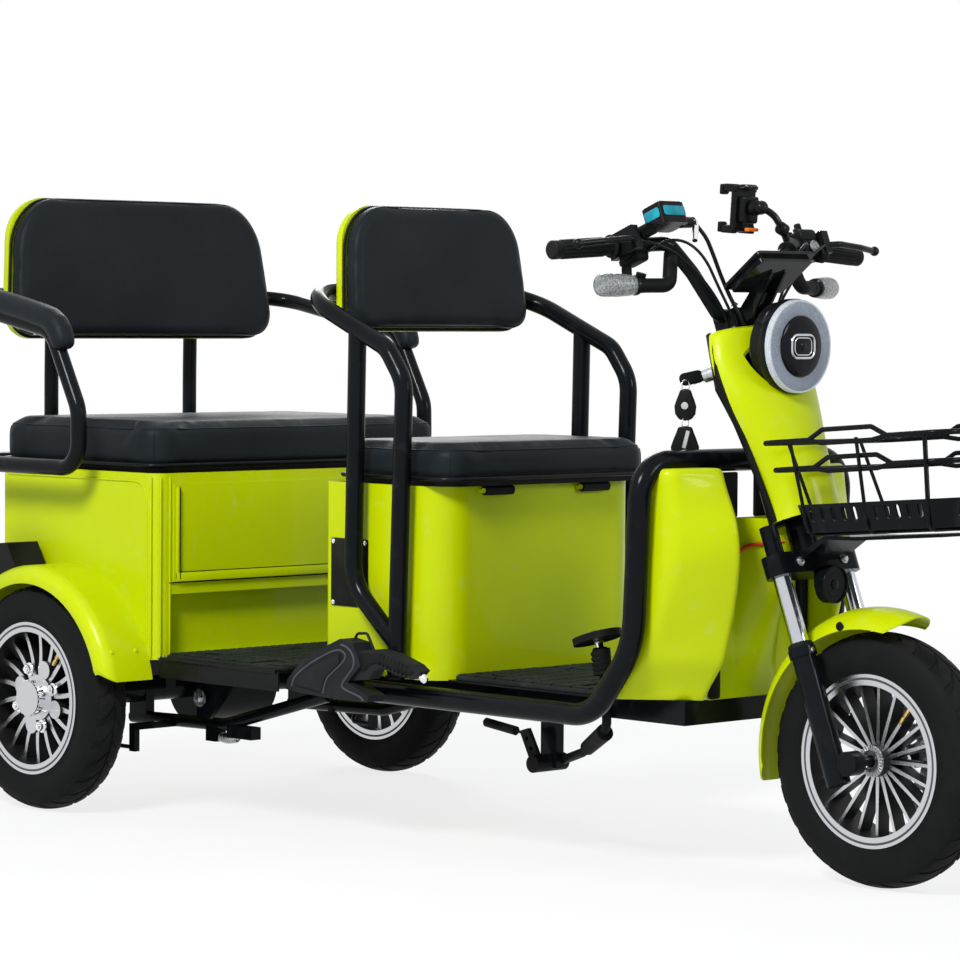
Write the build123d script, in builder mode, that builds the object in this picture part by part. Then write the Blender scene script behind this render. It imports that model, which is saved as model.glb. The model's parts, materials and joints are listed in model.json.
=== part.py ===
"""Electric passenger tricycle: one steered front wheel, two rear wheels, two seats.

+X is forward, +Y is to the left and +Z is up. The origin is on the ground, midway along the
overall length, on the centre plane. Sizes are in millimetres.
"""

import os
from math import cos, radians, sin, tan

from build123d import *

# ------------------------------------------------------------------ driving dimensions
WHEELBASE = 1654.0
REAR_OVERHANG = 348.0
FRONT_OVERHANG = 262.0
REAR_TRACK = 860.0

TYRE_OD = 416.0
TYRE_WIDTH = 84.0
BEAD_DIAMETER = 254.0
FLANGE_DIAMETER = 282.0
RIM_WIDTH = 78.0
FLANGE_THICKNESS = 3.6
BARREL_WALL = 4.0
AXLE_DIAMETER = 14.0
SPOKE_DEPTH = 28.0
WHEEL_NUT_CIRCLE = 110.0
HUB_CAP_DIAMETER = 65.0

RAKE = 21.2
FORK_LEAD = 39.0
FORK_SPACING = 160.0
FORK_SLIDER = 40.0
FORK_TUBE = 30.0
STEM = 30.0
HEAD_TUBE = 50.0

RAIL_TOP = 290.0
RAIL_HEIGHT = 40.0
RAIL_WIDTH = 30.0
RAIL_SPACING = 300.0
SHEET = 3.0
MAT_THICKNESS = 7.0
SEAT_GAP = 0.5

MAIN_TUBE = 38.0
MAIN_TUBE_SPACING = 500.0
MAIN_TUBE_DROP = 28.0
HOOP_SETBACK = 309.0
HOOP_TOP = 684.0
GUARD_TUBE = 32.0
GUARD_SPACING = 560.0
GUARD_TOP = 962.0
ARM_TUBE = 30.0
ARM_SPACING = 868.0
ARM_PAD = 46.0
POST_TUBE = 28.0
POST_SPACING = 350.0

REAR_BOX_WIDTH = 740.0
REAR_BOX_FRONT = 250.0
REAR_BOX_BACK = -213.0
REAR_BOX_TOP = 630.0
REAR_SEAT_FRONT = 232.0
REAR_SEAT_WIDTH = 730.0
REAR_SEAT_DEPTH = 468.0
REAR_SEAT_THICKNESS = 84.0
REAR_REST_WIDTH = 655.0
REAR_REST_HEIGHT = 270.0
REAR_REST_Z = 1011.0

DRIVER_SEAT_BACK = 600.0
DRIVER_BOX_DEPTH = 292.0
DRIVER_BOX_WIDTH = 506.0
DRIVER_BOX_TOP = 626.0
DRIVER_SEAT_WIDTH = 512.0
DRIVER_SEAT_DEPTH = 302.0
DRIVER_SEAT_THICKNESS = 66.0
DRIVER_REST_WIDTH = 444.0
DRIVER_REST_HEIGHT = 222.0
DRIVER_REST_Z = 1008.0

REST_LEAN = 6.0
REST_PAD = 36.0
REST_SHELL = 22.0
SEAT_BASE = 10.0
BOX_WALL = 3.0

FENDER_RADIUS = 246.0
FENDER_WALL = 3.0
BAR_TUBE = 24.0
GRIP_DIAMETER = 31.0
HEADLIGHT_DIAMETER = 154.0
DISPLAY_WIDTH = 140.0
DISPLAY_HEIGHT = 98.0
BASKET_WIDTH = 340.0
BASKET_LENGTH = 384.0
BASKET_PITCH = 4.5
BASKET_WIRE = 8.0
DISC_DIAMETER = 180.0
HOSE = 7.0
CABLE = 5.0

# ------------------------------------------------------------------ places that follow
OVERALL_LENGTH = REAR_OVERHANG + WHEELBASE + FRONT_OVERHANG
REAR_X = REAR_OVERHANG - OVERALL_LENGTH / 2
FRONT_X = REAR_X + WHEELBASE
AXLE_Z = TYRE_OD / 2
HOOP_X = FRONT_X - HOOP_SETBACK
DRIVER_X = REAR_X + DRIVER_SEAT_BACK
BOX_FRONT_X = DRIVER_X + DRIVER_BOX_DEPTH - 20
RAIL_BOTTOM = RAIL_TOP - RAIL_HEIGHT
MAIN_TUBE_Z = RAIL_TOP - MAIN_TUBE_DROP
FLOOR_FRONT = HOOP_X - 95
STEERING = Plane(
    origin=(FRONT_X - FORK_LEAD, 0, AXLE_Z),
    x_dir=(cos(radians(RAKE)), 0, sin(radians(RAKE))),
    z_dir=(-sin(radians(RAKE)), 0, cos(radians(RAKE))),
)
FRONT_AXLE = Vector(FORK_LEAD * cos(radians(RAKE)), 0, -FORK_LEAD * sin(radians(RAKE)))


# ------------------------------------------------------------------ helpers
def centre_line(points, bend):
    """Wire through the points, with every corner rounded to the bend radius."""
    with BuildLine(mode=Mode.PRIVATE) as line:
        if len(points) == 2:
            Line(*points)
        else:
            FilletPolyline(*points, radius=bend)
    return line.wires()[0]


def tube(points, diameter, bend=0, mode=Mode.ADD):
    """Sweep a round bar along the points into the piece being built."""
    route = centre_line(points, bend)
    with BuildSketch(Plane(origin=route @ 0, z_dir=route % 0), mode=Mode.PRIVATE) as disc:
        Circle(diameter / 2)
    sweep(disc.sketch, path=route, mode=mode)


def cone(start, end, start_diameter, end_diameter):
    """Add a round taper between two points to the piece being built."""
    start, end = Vector(*start), Vector(*end)
    sections = []
    for point, diameter in ((start, start_diameter), (end, end_diameter)):
        with BuildSketch(Plane(origin=point, z_dir=end - start), mode=Mode.PRIVATE) as disc:
            Circle(diameter / 2)
        sections.append(disc.sketch)
    loft(sections)


def block(low, high, mode=Mode.ADD):
    """Add a block between two opposite corners to the piece being built."""
    low, high = Vector(*low), Vector(*high)
    with Locations((low + high) / 2):
        Box(high.X - low.X, high.Y - low.Y, high.Z - low.Z, mode=mode)


def plate(outline, side, thickness, mode=Mode.ADD):
    """Add a flat plate, drawn as X and Z points and centred on a Y, to the piece being built."""
    with BuildSketch(Plane.XZ.offset(-side - thickness / 2), mode=Mode.PRIVATE) as sheet:
        with BuildLine():
            Polyline(*outline, close=True)
        make_face()
    extrude(sheet.sketch, amount=thickness, mode=mode)


def across(part):
    """The piece and its mirror image on the other side of the centre plane."""
    return Compound(children=[part, mirror(part, about=Plane.XZ)])


def steered(part):
    """Move a piece made about the steering axis to its place on the vehicle."""
    return part.moved(STEERING.location)


def write(name, part):
    """Label a finished piece and write its STEP file."""
    part.label = name
    export_step(part, f"parts/{name}.step")


os.makedirs("parts", exist_ok=True)


# ------------------------------------------------------------------ wheels
def build_tyre(centre):
    """Road tyre about a wheel centre, turning about Y."""
    bead = BEAD_DIAMETER / 2
    flange = FLANGE_DIAMETER / 2
    seat = RIM_WIDTH / 2 - FLANGE_THICKNESS
    crown = TYRE_OD / 2
    bulge = TYRE_WIDTH / 2
    widest = (flange + crown) / 2 - 4
    shoulder = (bulge * 0.8, crown * 0.955)
    with BuildPart() as tyre:
        with BuildSketch(Plane(origin=centre, x_dir=(0, 1, 0), z_dir=(1, 0, 0))):
            with BuildLine():
                Line((seat, bead), (seat, flange))
                ThreePointArc((seat, flange), (bulge, widest), shoulder)
                ThreePointArc(shoulder, (0, crown), (-shoulder[0], shoulder[1]))
                ThreePointArc((-shoulder[0], shoulder[1]), (-bulge, widest), (-seat, flange))
                Line((-seat, flange), (-seat, bead))
                Line((-seat, bead), (seat, bead))
            make_face()
        revolve(axis=Axis(centre, (0, 1, 0)))
    return tyre.part


def spoke_outline(root, curl, start, end):
    """One tapered spoke along X, bowed sideways by its curl."""
    middle = (start + end) / 2
    tip = root * 0.36
    with BuildSketch(mode=Mode.PRIVATE) as outline:
        with BuildLine():
            ThreePointArc((start, -root / 2), (middle, curl - root * 0.42), (end, -tip))
            ThreePointArc((start, root / 2), (middle, curl + root * 0.42), (end, tip))
            Line((start, -root / 2), (start, root / 2))
            Line((end, -tip), (end, tip))
        make_face()
    return outline.sketch


def build_rim(centre, spokes, spoke_root, spoke_curl, hub_radius, hub_half, lugs):
    """Cast rim: flanged barrel, tapered spokes and a hub, turning about Y."""
    centre = Vector(*centre)
    bead = BEAD_DIAMETER / 2
    flange = FLANGE_DIAMETER / 2
    half = RIM_WIDTH / 2
    inner = bead - BARREL_WALL
    with BuildPart() as rim:
        with BuildSketch(Plane(origin=centre, x_dir=(0, 1, 0), z_dir=(1, 0, 0))):
            with BuildLine():
                Polyline(
                    (-half, inner),
                    (half, inner),
                    (half, flange),
                    (half - FLANGE_THICKNESS, flange),
                    (half - FLANGE_THICKNESS, bead),
                    (FLANGE_THICKNESS - half, bead),
                    (FLANGE_THICKNESS - half, flange),
                    (-half, flange),
                    close=True,
                )
            make_face()
        revolve(axis=Axis(centre, (0, 1, 0)))
        with BuildSketch(Plane(origin=centre, z_dir=(0, 1, 0)).offset(-SPOKE_DEPTH / 2)):
            with PolarLocations(0, spokes):
                add(spoke_outline(spoke_root, spoke_curl, hub_radius - 6, inner + 1))
        extrude(amount=SPOKE_DEPTH)
        with BuildSketch(Plane(origin=centre, z_dir=(0, 1, 0)).offset(-hub_half)):
            Circle(hub_radius)
            if lugs:
                with PolarLocations(WHEEL_NUT_CIRCLE / 2, lugs, start_angle=20):
                    Circle(17)
            Circle(AXLE_DIAMETER / 2, mode=Mode.SUBTRACT)
        extrude(amount=2 * hub_half)
        if lugs:
            with BuildSketch(Plane(origin=centre, z_dir=(0, 1, 0)).offset(-TYRE_WIDTH / 2)):
                Circle(HUB_CAP_DIAMETER / 2)
            extrude(amount=TYRE_WIDTH / 2 - hub_half)
    return rim.part


FRONT_CENTRE = (FRONT_X, 0, AXLE_Z)
RIGHT_CENTRE = (REAR_X, -REAR_TRACK / 2, AXLE_Z)
DISC_Y = 34.0
DISC_THICKNESS = 4.0

front_tyre = build_tyre(FRONT_CENTRE)
front_rim = build_rim(FRONT_CENTRE, 20, 7.0, 0.0, 26.0, 30.0, 0)
rear_tyre = build_tyre(RIGHT_CENTRE)
rear_rim = build_rim(RIGHT_CENTRE, 18, 10.0, 5.0, 42.0, 18.0, 4)

with BuildPart() as brake_disc:
    with BuildSketch(Plane(origin=(FRONT_X, DISC_Y, AXLE_Z), z_dir=(0, 1, 0))):
        Circle(DISC_DIAMETER / 2)
        Circle(52, mode=Mode.SUBTRACT)
        with PolarLocations(0, 6):
            Rectangle(120, 12)
        Circle(24)
        Circle(AXLE_DIAMETER / 2, mode=Mode.SUBTRACT)
        with PolarLocations(72, 24):
            Circle(4, mode=Mode.SUBTRACT)
    extrude(amount=DISC_THICKNESS)

write("front_tyre", front_tyre)
write("front_rim", front_rim)
write("front_brake_disc", brake_disc.part)
write("rear_tyre_right", rear_tyre)
write("rear_tyre_left", mirror(rear_tyre, about=Plane.XZ))
write("rear_rim_right", rear_rim)
write("rear_rim_left", mirror(rear_rim, about=Plane.XZ))

# ------------------------------------------------------------------ chassis frame
HEAD_BOTTOM = 352.0
HEAD_TOP = 486.0
CROWN_BOTTOM = 312.0
CROWN_TOP = 348.0
FRAME_BACK = REAR_X - 330
NECK_X = HOOP_X + 6
NECK_TUBE = 44.0
PIVOT_X = REAR_X + 252
ARM_FOOT_X = REAR_X + 532
PEDAL_PIVOT_X = DRIVER_X + 411
NECK_JOINT = STEERING.from_local_coords(Vector(0, 0, 442))
neck_points = [
    (HOOP_X - 60, 0, RAIL_BOTTOM + 18),
    (NECK_X, 0, RAIL_TOP + 24),
    tuple(NECK_JOINT),
]
rail_length = HOOP_X + 24 - FRAME_BACK
cross_places = (FRAME_BACK + 15, REAR_X + 228, DRIVER_X - 20, PEDAL_PIVOT_X, HOOP_X + 9)

with BuildPart() as chassis_frame:
    with BuildSketch(Plane.XY.offset(RAIL_BOTTOM)):
        for side in (-1, 1):
            with Locations((FRAME_BACK + rail_length / 2, side * RAIL_SPACING / 2)):
                Rectangle(rail_length, RAIL_WIDTH)
        for x in cross_places:
            with Locations((x, 0)):
                Rectangle(RAIL_WIDTH, RAIL_SPACING)
        with Locations((ARM_FOOT_X, 0)):
            Rectangle(RAIL_WIDTH, 2 * 216)
        with Locations((PIVOT_X, 0)):
            Rectangle(50, 2 * 262)
    extrude(amount=RAIL_HEIGHT)
    tube(neck_points, NECK_TUBE, 40)
    with Locations((HOOP_X - 75, 0, RAIL_BOTTOM + 18)):
        Box(60, RAIL_SPACING, 30)
    with BuildSketch(STEERING.offset(HEAD_BOTTOM)):
        Circle(HEAD_TUBE / 2)
    extrude(amount=HEAD_TOP - HEAD_BOTTOM)
    with BuildSketch(STEERING.offset(HEAD_BOTTOM - 5)):
        Circle(STEM / 2 + 1)
    extrude(amount=HEAD_TOP - HEAD_BOTTOM + 10, mode=Mode.SUBTRACT)
    for side in (-1, 1):
        gusset = [
            (PIVOT_X - 25, RAIL_BOTTOM + 2),
            (PIVOT_X + 76, RAIL_BOTTOM + 2),
            (PIVOT_X + 70, 234),
            (PIVOT_X + 14, 176),
            (PIVOT_X - 22, 176),
        ]
        plate(gusset, side * 252, 8)
        block(
            (PIVOT_X + 20, min(side * 150, side * 256), RAIL_BOTTOM),
            (PIVOT_X + 76, max(side * 150, side * 256), RAIL_BOTTOM + 12),
        )
        with Locations(Location((PIVOT_X, side * 250, 215), (90, 0, 0))):
            Cylinder(13, 24)
    block((PEDAL_PIVOT_X - 18, -122, 146), (PEDAL_PIVOT_X + 20, -104, RAIL_BOTTOM + 2))
write("chassis_frame", chassis_frame.part)

# ------------------------------------------------------------------ rear axle and subframe
DRUM_Y = REAR_TRACK / 2 - 66
LOWER_RAIL_Y = 200.0
with BuildPart() as rear_axle:
    with Locations(Location((REAR_X, 0, AXLE_Z), (90, 0, 0))):
        Cylinder(24, REAR_TRACK - 150)
        Cylinder(75, 150)
        Cylinder(AXLE_DIAMETER / 2 - 0.2, REAR_TRACK + 30)
    for side in (-1, 1):
        with Locations(Location((REAR_X, side * DRUM_Y, AXLE_Z), (90, 0, 0))):
            Cylinder(62, 40)
write("rear_axle", rear_axle.part)

with BuildPart() as subframe:
    for side in (-1, 1):
        y = side * LOWER_RAIL_Y
        lower_rail = [
            (ARM_FOOT_X, y, RAIL_BOTTOM - 13),
            (PIVOT_X - 6, y, 160),
            (REAR_X - 26, y, 154),
        ]
        tube(lower_rail, 24, 120)
        block((REAR_X - 25, y - 10, 150), (REAR_X + 25, y + 10, AXLE_Z))
        block((REAR_X - 25, side * 150 - 12, AXLE_Z), (REAR_X + 25, side * 150 + 12, RAIL_BOTTOM))
        hanger_low = min(side * 188, side * 306)
        block((REAR_X + 96, hanger_low, 146), (REAR_X + 110, hanger_low + 118, 158))
        block((REAR_X + 95, side * 301 - 6, 106), (REAR_X + 111, side * 301 + 6, 158))
        pull_rod = [
            (REAR_X + 103, side * 301, 113),
            (REAR_X + 40, side * 301, 113),
            (REAR_X + 20, side * (DRUM_Y - 14), 152),
        ]
        tube(pull_rod, 8, 18)
    block((PIVOT_X - 49, -212, 128), (PIVOT_X - 19, -188, 156))
    block((PIVOT_X + 11, -212, 139), (PIVOT_X + 80, -188, 162))
    tube([(PIVOT_X - 22, -200, 134), (PIVOT_X + 14, -200, 144)], 12)
    add(rear_axle.part, mode=Mode.SUBTRACT)
write("rear_subframe", subframe.part)

# ------------------------------------------------------------------ tubes of the body
MAIN_BACK = DRIVER_X - 20
HOOP_BENDS = (90, 160, 60)


def hoop_points(side):
    """Corner points of one side of the leg-shield hoop, from the back to the cross bar."""
    y = side * MAIN_TUBE_SPACING / 2
    return [
        (MAIN_BACK, y, MAIN_TUBE_Z),
        (HOOP_X - 105, y, MAIN_TUBE_Z),
        (HOOP_X - 14, y, RAIL_TOP + 90),
        (HOOP_X, y, HOOP_TOP),
        (HOOP_X, 0, HOOP_TOP),
    ]


rail_side = RAIL_SPACING / 2 + RAIL_WIDTH / 2
with BuildPart() as hoop_tube:
    for side in (-1, 1):
        tube(hoop_points(side), MAIN_TUBE, HOOP_BENDS)
        for x in (MAIN_BACK + 30, DRIVER_X + 330):
            inner, outer = side * rail_side, side * (MAIN_TUBE_SPACING / 2 - 12)
            block(
                (x - 12, min(inner, outer), MAIN_TUBE_Z - 12),
                (x + 12, max(inner, outer), MAIN_TUBE_Z + 12),
            )
write("leg_shield_hoop", hoop_tube.part)

GUARD_BACK_X = DRIVER_X - 62
GUARD_POST_X = DRIVER_X + 92
with BuildPart() as guards:
    for side in (-1, 1):
        y = side * GUARD_SPACING / 2
        rail = [
            (DRIVER_X + 196, y, MAIN_TUBE_Z + 30),
            (DRIVER_X + 212, y, 806),
            (DRIVER_X + 168, y, 864),
            (GUARD_BACK_X, y, GUARD_TOP),
            (GUARD_BACK_X, 0, GUARD_TOP),
        ]
        tube(rail, GUARD_TUBE, (70, 60, 90))
        post = [
            (GUARD_POST_X, y, 892),
            (GUARD_POST_X - 8, y, 450),
            (DRIVER_X + 197, y, 352),
        ]
        tube(post, GUARD_TUBE, 90)
        tube(hoop_points(side), MAIN_TUBE, HOOP_BENDS, mode=Mode.SUBTRACT)
write("driver_guard", guards.part)


# ------------------------------------------------------------------ backrests
def rest_plane(x, z):
    """Front face of a backrest, leaning back, seen square on."""
    lean = radians(REST_LEAN)
    return Plane(origin=(x, 0, z), x_dir=(0, 1, 0), z_dir=(cos(lean), 0, sin(lean)))


def rest_outline(width, height, grow):
    """Outline of a backrest: narrower and rounder at its top, grown all round."""
    half, foot = width / 2 + grow, -height / 2 - grow
    with BuildSketch(mode=Mode.PRIVATE) as outline:
        with BuildLine():
            Polyline(
                (-half, foot),
                (half, foot),
                (half - width * 0.045, -foot),
                (width * 0.045 - half, -foot),
                close=True,
            )
        make_face()
        corners = outline.vertices().sort_by(Axis.Y)
        fillet(corners[:2], height * 0.2)
        fillet(outline.vertices().sort_by(Axis.Y)[-2:], height * 0.34)
    return outline.sketch


def build_rest(x, z, width, height):
    """Pad and shell of a backrest."""
    face = rest_plane(x, z)
    facing = Axis(face.origin, face.z_dir)
    with BuildPart() as pad:
        with BuildSketch(face.offset(-REST_PAD)):
            add(rest_outline(width, height, 0))
        extrude(amount=REST_PAD)
        fillet(pad.faces().sort_by(facing)[-1].edges(), REST_PAD * 0.4)
    with BuildPart() as shell:
        with BuildSketch(face.offset(-REST_PAD - REST_SHELL)):
            add(rest_outline(width, height, 2))
        extrude(amount=REST_SHELL)
        fillet(shell.faces().sort_by(facing)[0].edges(), REST_SHELL * 0.6)
    return pad.part, shell.part


REST_X = REAR_X - 234
rear_pad, rear_shell = build_rest(REST_X, REAR_REST_Z, REAR_REST_WIDTH, REAR_REST_HEIGHT)
driver_pad, driver_shell = build_rest(
    DRIVER_X + 12, DRIVER_REST_Z, DRIVER_REST_WIDTH, DRIVER_REST_HEIGHT
)
write("backrest_pads", Compound(children=[rear_pad, driver_pad]))
write("backrest_shells", Compound(children=[rear_shell, driver_shell]))

POST_X = REAR_X - 315
POST_STANDOFF = 12.0
with BuildPart() as rear_posts:
    back = rest_plane(REST_X, REAR_REST_Z).offset(-REST_PAD - REST_SHELL)
    depth = -POST_TUBE / 2 - 4
    for side in (-1, 1):
        y = side * POST_SPACING / 2
        top = back.from_local_coords(Vector(y, 20, depth))
        knee = back.from_local_coords(Vector(y, -150, depth))
        tube([(POST_X, y, RAIL_TOP), (POST_X, y, knee.Z - 60), tuple(top)], POST_TUBE, 120)
        with BuildSketch(back.offset(-POST_STANDOFF)):
            with Locations((y, -40)):
                Rectangle(24, 90)
        extrude(amount=POST_STANDOFF)
write("rear_backrest_posts", rear_posts.part)

# ------------------------------------------------------------------ rear armrests
ARM_SLOPE = -0.19
ARM_PAD_RISE = 19.0
ARM_CORNER_X = REAR_X + 25
ARM_CORNER_Z = 887.0
ARM_FRONT_X = REAR_X + 103
ARM_FRONT_Z = 745.0
ARM_BACK_X = REAR_X - 330
ARM_FOOT_Z = 636.0


def arm_height(x):
    """Height of the armrest's upper run, which falls towards the front."""
    return ARM_CORNER_Z + (x - ARM_CORNER_X) * ARM_SLOPE


def arm_front(share):
    """Point on the armrest's steep front run, as X and Z, at a share of the way down it."""
    return (
        ARM_CORNER_X + share * (ARM_FRONT_X - ARM_CORNER_X),
        ARM_CORNER_Z + share * (ARM_FRONT_Z - ARM_CORNER_Z),
    )


with BuildPart() as armrest_tube:
    y = -ARM_SPACING / 2
    route = [
        (ARM_BACK_X, -POST_SPACING / 2, arm_height(ARM_BACK_X)),
        (ARM_BACK_X, y, arm_height(ARM_BACK_X)),
        (ARM_CORNER_X, y, ARM_CORNER_Z),
        (ARM_FRONT_X, y, ARM_FRONT_Z),
        (ARM_FRONT_X + 2, y, ARM_FOOT_Z),
        (POST_X, y, ARM_FOOT_Z),
        (POST_X, -POST_SPACING / 2, ARM_FOOT_Z),
    ]
    tube(route, ARM_TUBE, (70, 60, 60, 50, 60))
    add(rear_posts.part, mode=Mode.SUBTRACT)
write("armrest_tubes", across(armrest_tube.part))

with BuildPart() as armrest_pad:
    y = -ARM_SPACING / 2
    pad_back = REAR_X - 212
    pad_x, pad_z = arm_front(0.3)
    pad_line = [
        (pad_back, y, arm_height(pad_back) + ARM_PAD_RISE),
        (ARM_CORNER_X + 11, y, arm_height(ARM_CORNER_X + 11) + ARM_PAD_RISE),
        (pad_x + 12, y, pad_z + 7),
    ]
    tube(pad_line, ARM_PAD, 34)
    tube(route[1:4], ARM_TUBE, 60, mode=Mode.SUBTRACT)
write("armrest_pads", across(armrest_pad.part))

# ------------------------------------------------------------------ seat boxes
REAR_BOX_CORNER = 26.0
DRIVER_BOX_CORNER = 70.0
BACK_CORNER = 12.0
RECESS_TOP = 412.0
RECESS_DEPTH = 26.0
PILLAR = 30.0


def build_box(back, depth, width, top, corner):
    """Open-topped box with a floor and thin walls, standing on the rails."""
    with BuildPart() as box:
        block((back, -width / 2, RAIL_TOP), (back + depth, width / 2, top))
        fillet(box.edges().filter_by(Axis.Z).sort_by(Axis.X)[-2:], corner)
        fillet(box.edges().filter_by(Axis.Z).sort_by(Axis.X)[:2], BACK_CORNER)
        offset(amount=-BOX_WALL, openings=box.faces().sort_by(Axis.Z)[-1])
    return box.part


REAR_FACE_X = REAR_X + REAR_BOX_FRONT
REAR_LID_X = REAR_X + REAR_BOX_BACK - 25
REAR_LID_Z = REAR_BOX_TOP - 4
REAR_HINGE_Y = 200.0
DRIVER_LID_X = DRIVER_X + DRIVER_BOX_DEPTH - 10
DRIVER_LID_Z = DRIVER_BOX_TOP - 8
DRIVER_HINGE_Y = 120.0


def knuckle(x, y, z, radius, length):
    """Add one round knuckle of a lid hinge to the piece being built."""
    with Locations(Location((x, y, z), (90, 0, 0))):
        Cylinder(radius, length)


recess_half = REAR_BOX_WIDTH / 2 - PILLAR
with BuildPart() as rear_box:
    add(
        build_box(
            REAR_X + REAR_BOX_BACK,
            REAR_BOX_FRONT - REAR_BOX_BACK,
            REAR_BOX_WIDTH,
            REAR_BOX_TOP,
            REAR_BOX_CORNER,
        )
    )
    block(
        (REAR_FACE_X - RECESS_DEPTH - BOX_WALL, -recess_half, RAIL_TOP),
        (REAR_FACE_X, recess_half, RECESS_TOP),
    )
    block(
        (REAR_FACE_X - RECESS_DEPTH, BOX_WALL - recess_half, RAIL_TOP + BOX_WALL),
        (REAR_FACE_X + 2, recess_half - BOX_WALL, RECESS_TOP - BOX_WALL),
        mode=Mode.SUBTRACT,
    )
    block(
        (REAR_FACE_X - 1, 10 - recess_half, RECESS_TOP + 20),
        (REAR_FACE_X + 2, recess_half - 10, REAR_BOX_TOP - 20),
    )
    for y in (-REAR_HINGE_Y, REAR_HINGE_Y):
        for side in (-1, 1):
            middle = y + side * 36
            knuckle(REAR_LID_X, middle, REAR_LID_Z, 5, 18)
            block(
                (REAR_LID_X - 3, middle - 9, REAR_LID_Z - 26),
                (REAR_LID_X + 3, middle + 9, REAR_LID_Z),
            )
            block(
                (REAR_LID_X - 3, middle - 9, REAR_LID_Z - 26),
                (REAR_X + REAR_BOX_BACK + 1, middle + 9, REAR_LID_Z - 20),
            )
write("rear_box", rear_box.part)

with BuildPart() as driver_box:
    add(
        build_box(
            DRIVER_X - 20, DRIVER_BOX_DEPTH, DRIVER_BOX_WIDTH, DRIVER_BOX_TOP, DRIVER_BOX_CORNER
        )
    )
    for y in (-DRIVER_HINGE_Y, DRIVER_HINGE_Y):
        for side in (-1, 1):
            middle = y + side * 29
            knuckle(DRIVER_LID_X, middle, DRIVER_LID_Z, 4.5, 14)
            block(
                (DRIVER_LID_X - 11, middle - 7, DRIVER_LID_Z - 4),
                (DRIVER_LID_X, middle + 7, DRIVER_LID_Z + 2),
            )
write("driver_seat_box", driver_box.part)

with BuildPart() as battery:
    with Locations((DRIVER_X + DRIVER_BOX_DEPTH / 2 - 20, 0, RAIL_TOP + BOX_WALL + 95)):
        Box(190, 380, 190)
write("battery_block", battery.part)


# ------------------------------------------------------------------ seats
def build_seat(front, depth, width, box_top, thickness, corner):
    """Cushion and its base board, lying just above a box."""
    centre = front - depth / 2
    with BuildPart() as base:
        with BuildSketch(Plane.XY.offset(box_top + SEAT_GAP)):
            with Locations((centre, 0)):
                RectangleRounded(depth - 16, width - 16, corner - 8)
        extrude(amount=SEAT_BASE)
    with BuildPart() as cushion:
        with BuildSketch(Plane.XY.offset(box_top + SEAT_GAP + SEAT_BASE)):
            with Locations((centre, 0)):
                RectangleRounded(depth, width, corner)
        extrude(amount=thickness)
        fillet(cushion.faces().sort_by(Axis.Z)[-1].edges(), 16)
    return cushion.part, base.part


rear_cushion, rear_base = build_seat(
    REAR_X + REAR_SEAT_FRONT,
    REAR_SEAT_DEPTH,
    REAR_SEAT_WIDTH,
    REAR_BOX_TOP,
    REAR_SEAT_THICKNESS,
    44,
)
driver_cushion, driver_base = build_seat(
    DRIVER_X + DRIVER_SEAT_DEPTH,
    DRIVER_SEAT_DEPTH,
    DRIVER_SEAT_WIDTH,
    DRIVER_BOX_TOP,
    DRIVER_SEAT_THICKNESS,
    50,
)
write("rear_seat_cushion", rear_cushion)
write("driver_seat_cushion", driver_cushion)
with BuildPart() as rear_seat_base:
    add(rear_base)
    for y in (-REAR_HINGE_Y, REAR_HINGE_Y):
        knuckle(REAR_LID_X, y, REAR_LID_Z, 5, 50)
        block((REAR_LID_X - 3, y - 25, REAR_LID_Z + 2), (REAR_LID_X + 13, y + 25, REAR_LID_Z + 11))
with BuildPart() as driver_seat_base:
    add(driver_base)
    for y in (-DRIVER_HINGE_Y, DRIVER_HINGE_Y):
        knuckle(DRIVER_LID_X, y, DRIVER_LID_Z, 4.5, 40)
        block((DRIVER_LID_X - 4, y - 20, DRIVER_LID_Z), (DRIVER_LID_X + 4, y + 20, DRIVER_LID_Z + 10))
write("rear_seat_base", rear_seat_base.part)
write("driver_seat_base", driver_seat_base.part)

# ------------------------------------------------------------------ fenders and lamps
FENDER_SWEEP = 158.0
FRONT_FENDER_AHEAD = 17.0
FRONT_FENDER_BEHIND = 103.0
fender_inner = -REAR_BOX_WIDTH / 2
fender_outer = -REAR_TRACK / 2 - 46


def turned(plane_x, degrees):
    """Upright plane through a wheel axle, turned back from vertical towards the front."""
    turn = radians(degrees)
    return Plane(
        origin=(plane_x, 0, AXLE_Z),
        x_dir=(0, 1, 0),
        z_dir=(cos(turn), 0, -sin(turn)),
    )


def round_corner(axle_x, degrees, y, radius):
    """Cut one end corner of the fender in the making to a radius, at the plane of that end."""
    turn = radians(degrees)
    side, inward = (1 if y > 0 else -1), (1 if degrees > 0 else -1)
    radial = Vector(sin(turn), 0, cos(turn))
    end = Plane(
        origin=Vector(axle_x, 0, AXLE_Z) + radial * (FENDER_RADIUS - 60),
        x_dir=(0, 1, 0),
        z_dir=radial,
    )
    with BuildSketch(end, mode=Mode.PRIVATE) as corner:
        with Locations((y - side * (radius / 2 - 2), inward * (radius / 2 - 2))):
            Rectangle(radius + 4, radius + 4)
        with Locations((y - side * (radius - 1), inward * (radius - 1))):
            Circle(radius, mode=Mode.SUBTRACT)
    extrude(corner.sketch, amount=75, mode=Mode.SUBTRACT)


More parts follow.
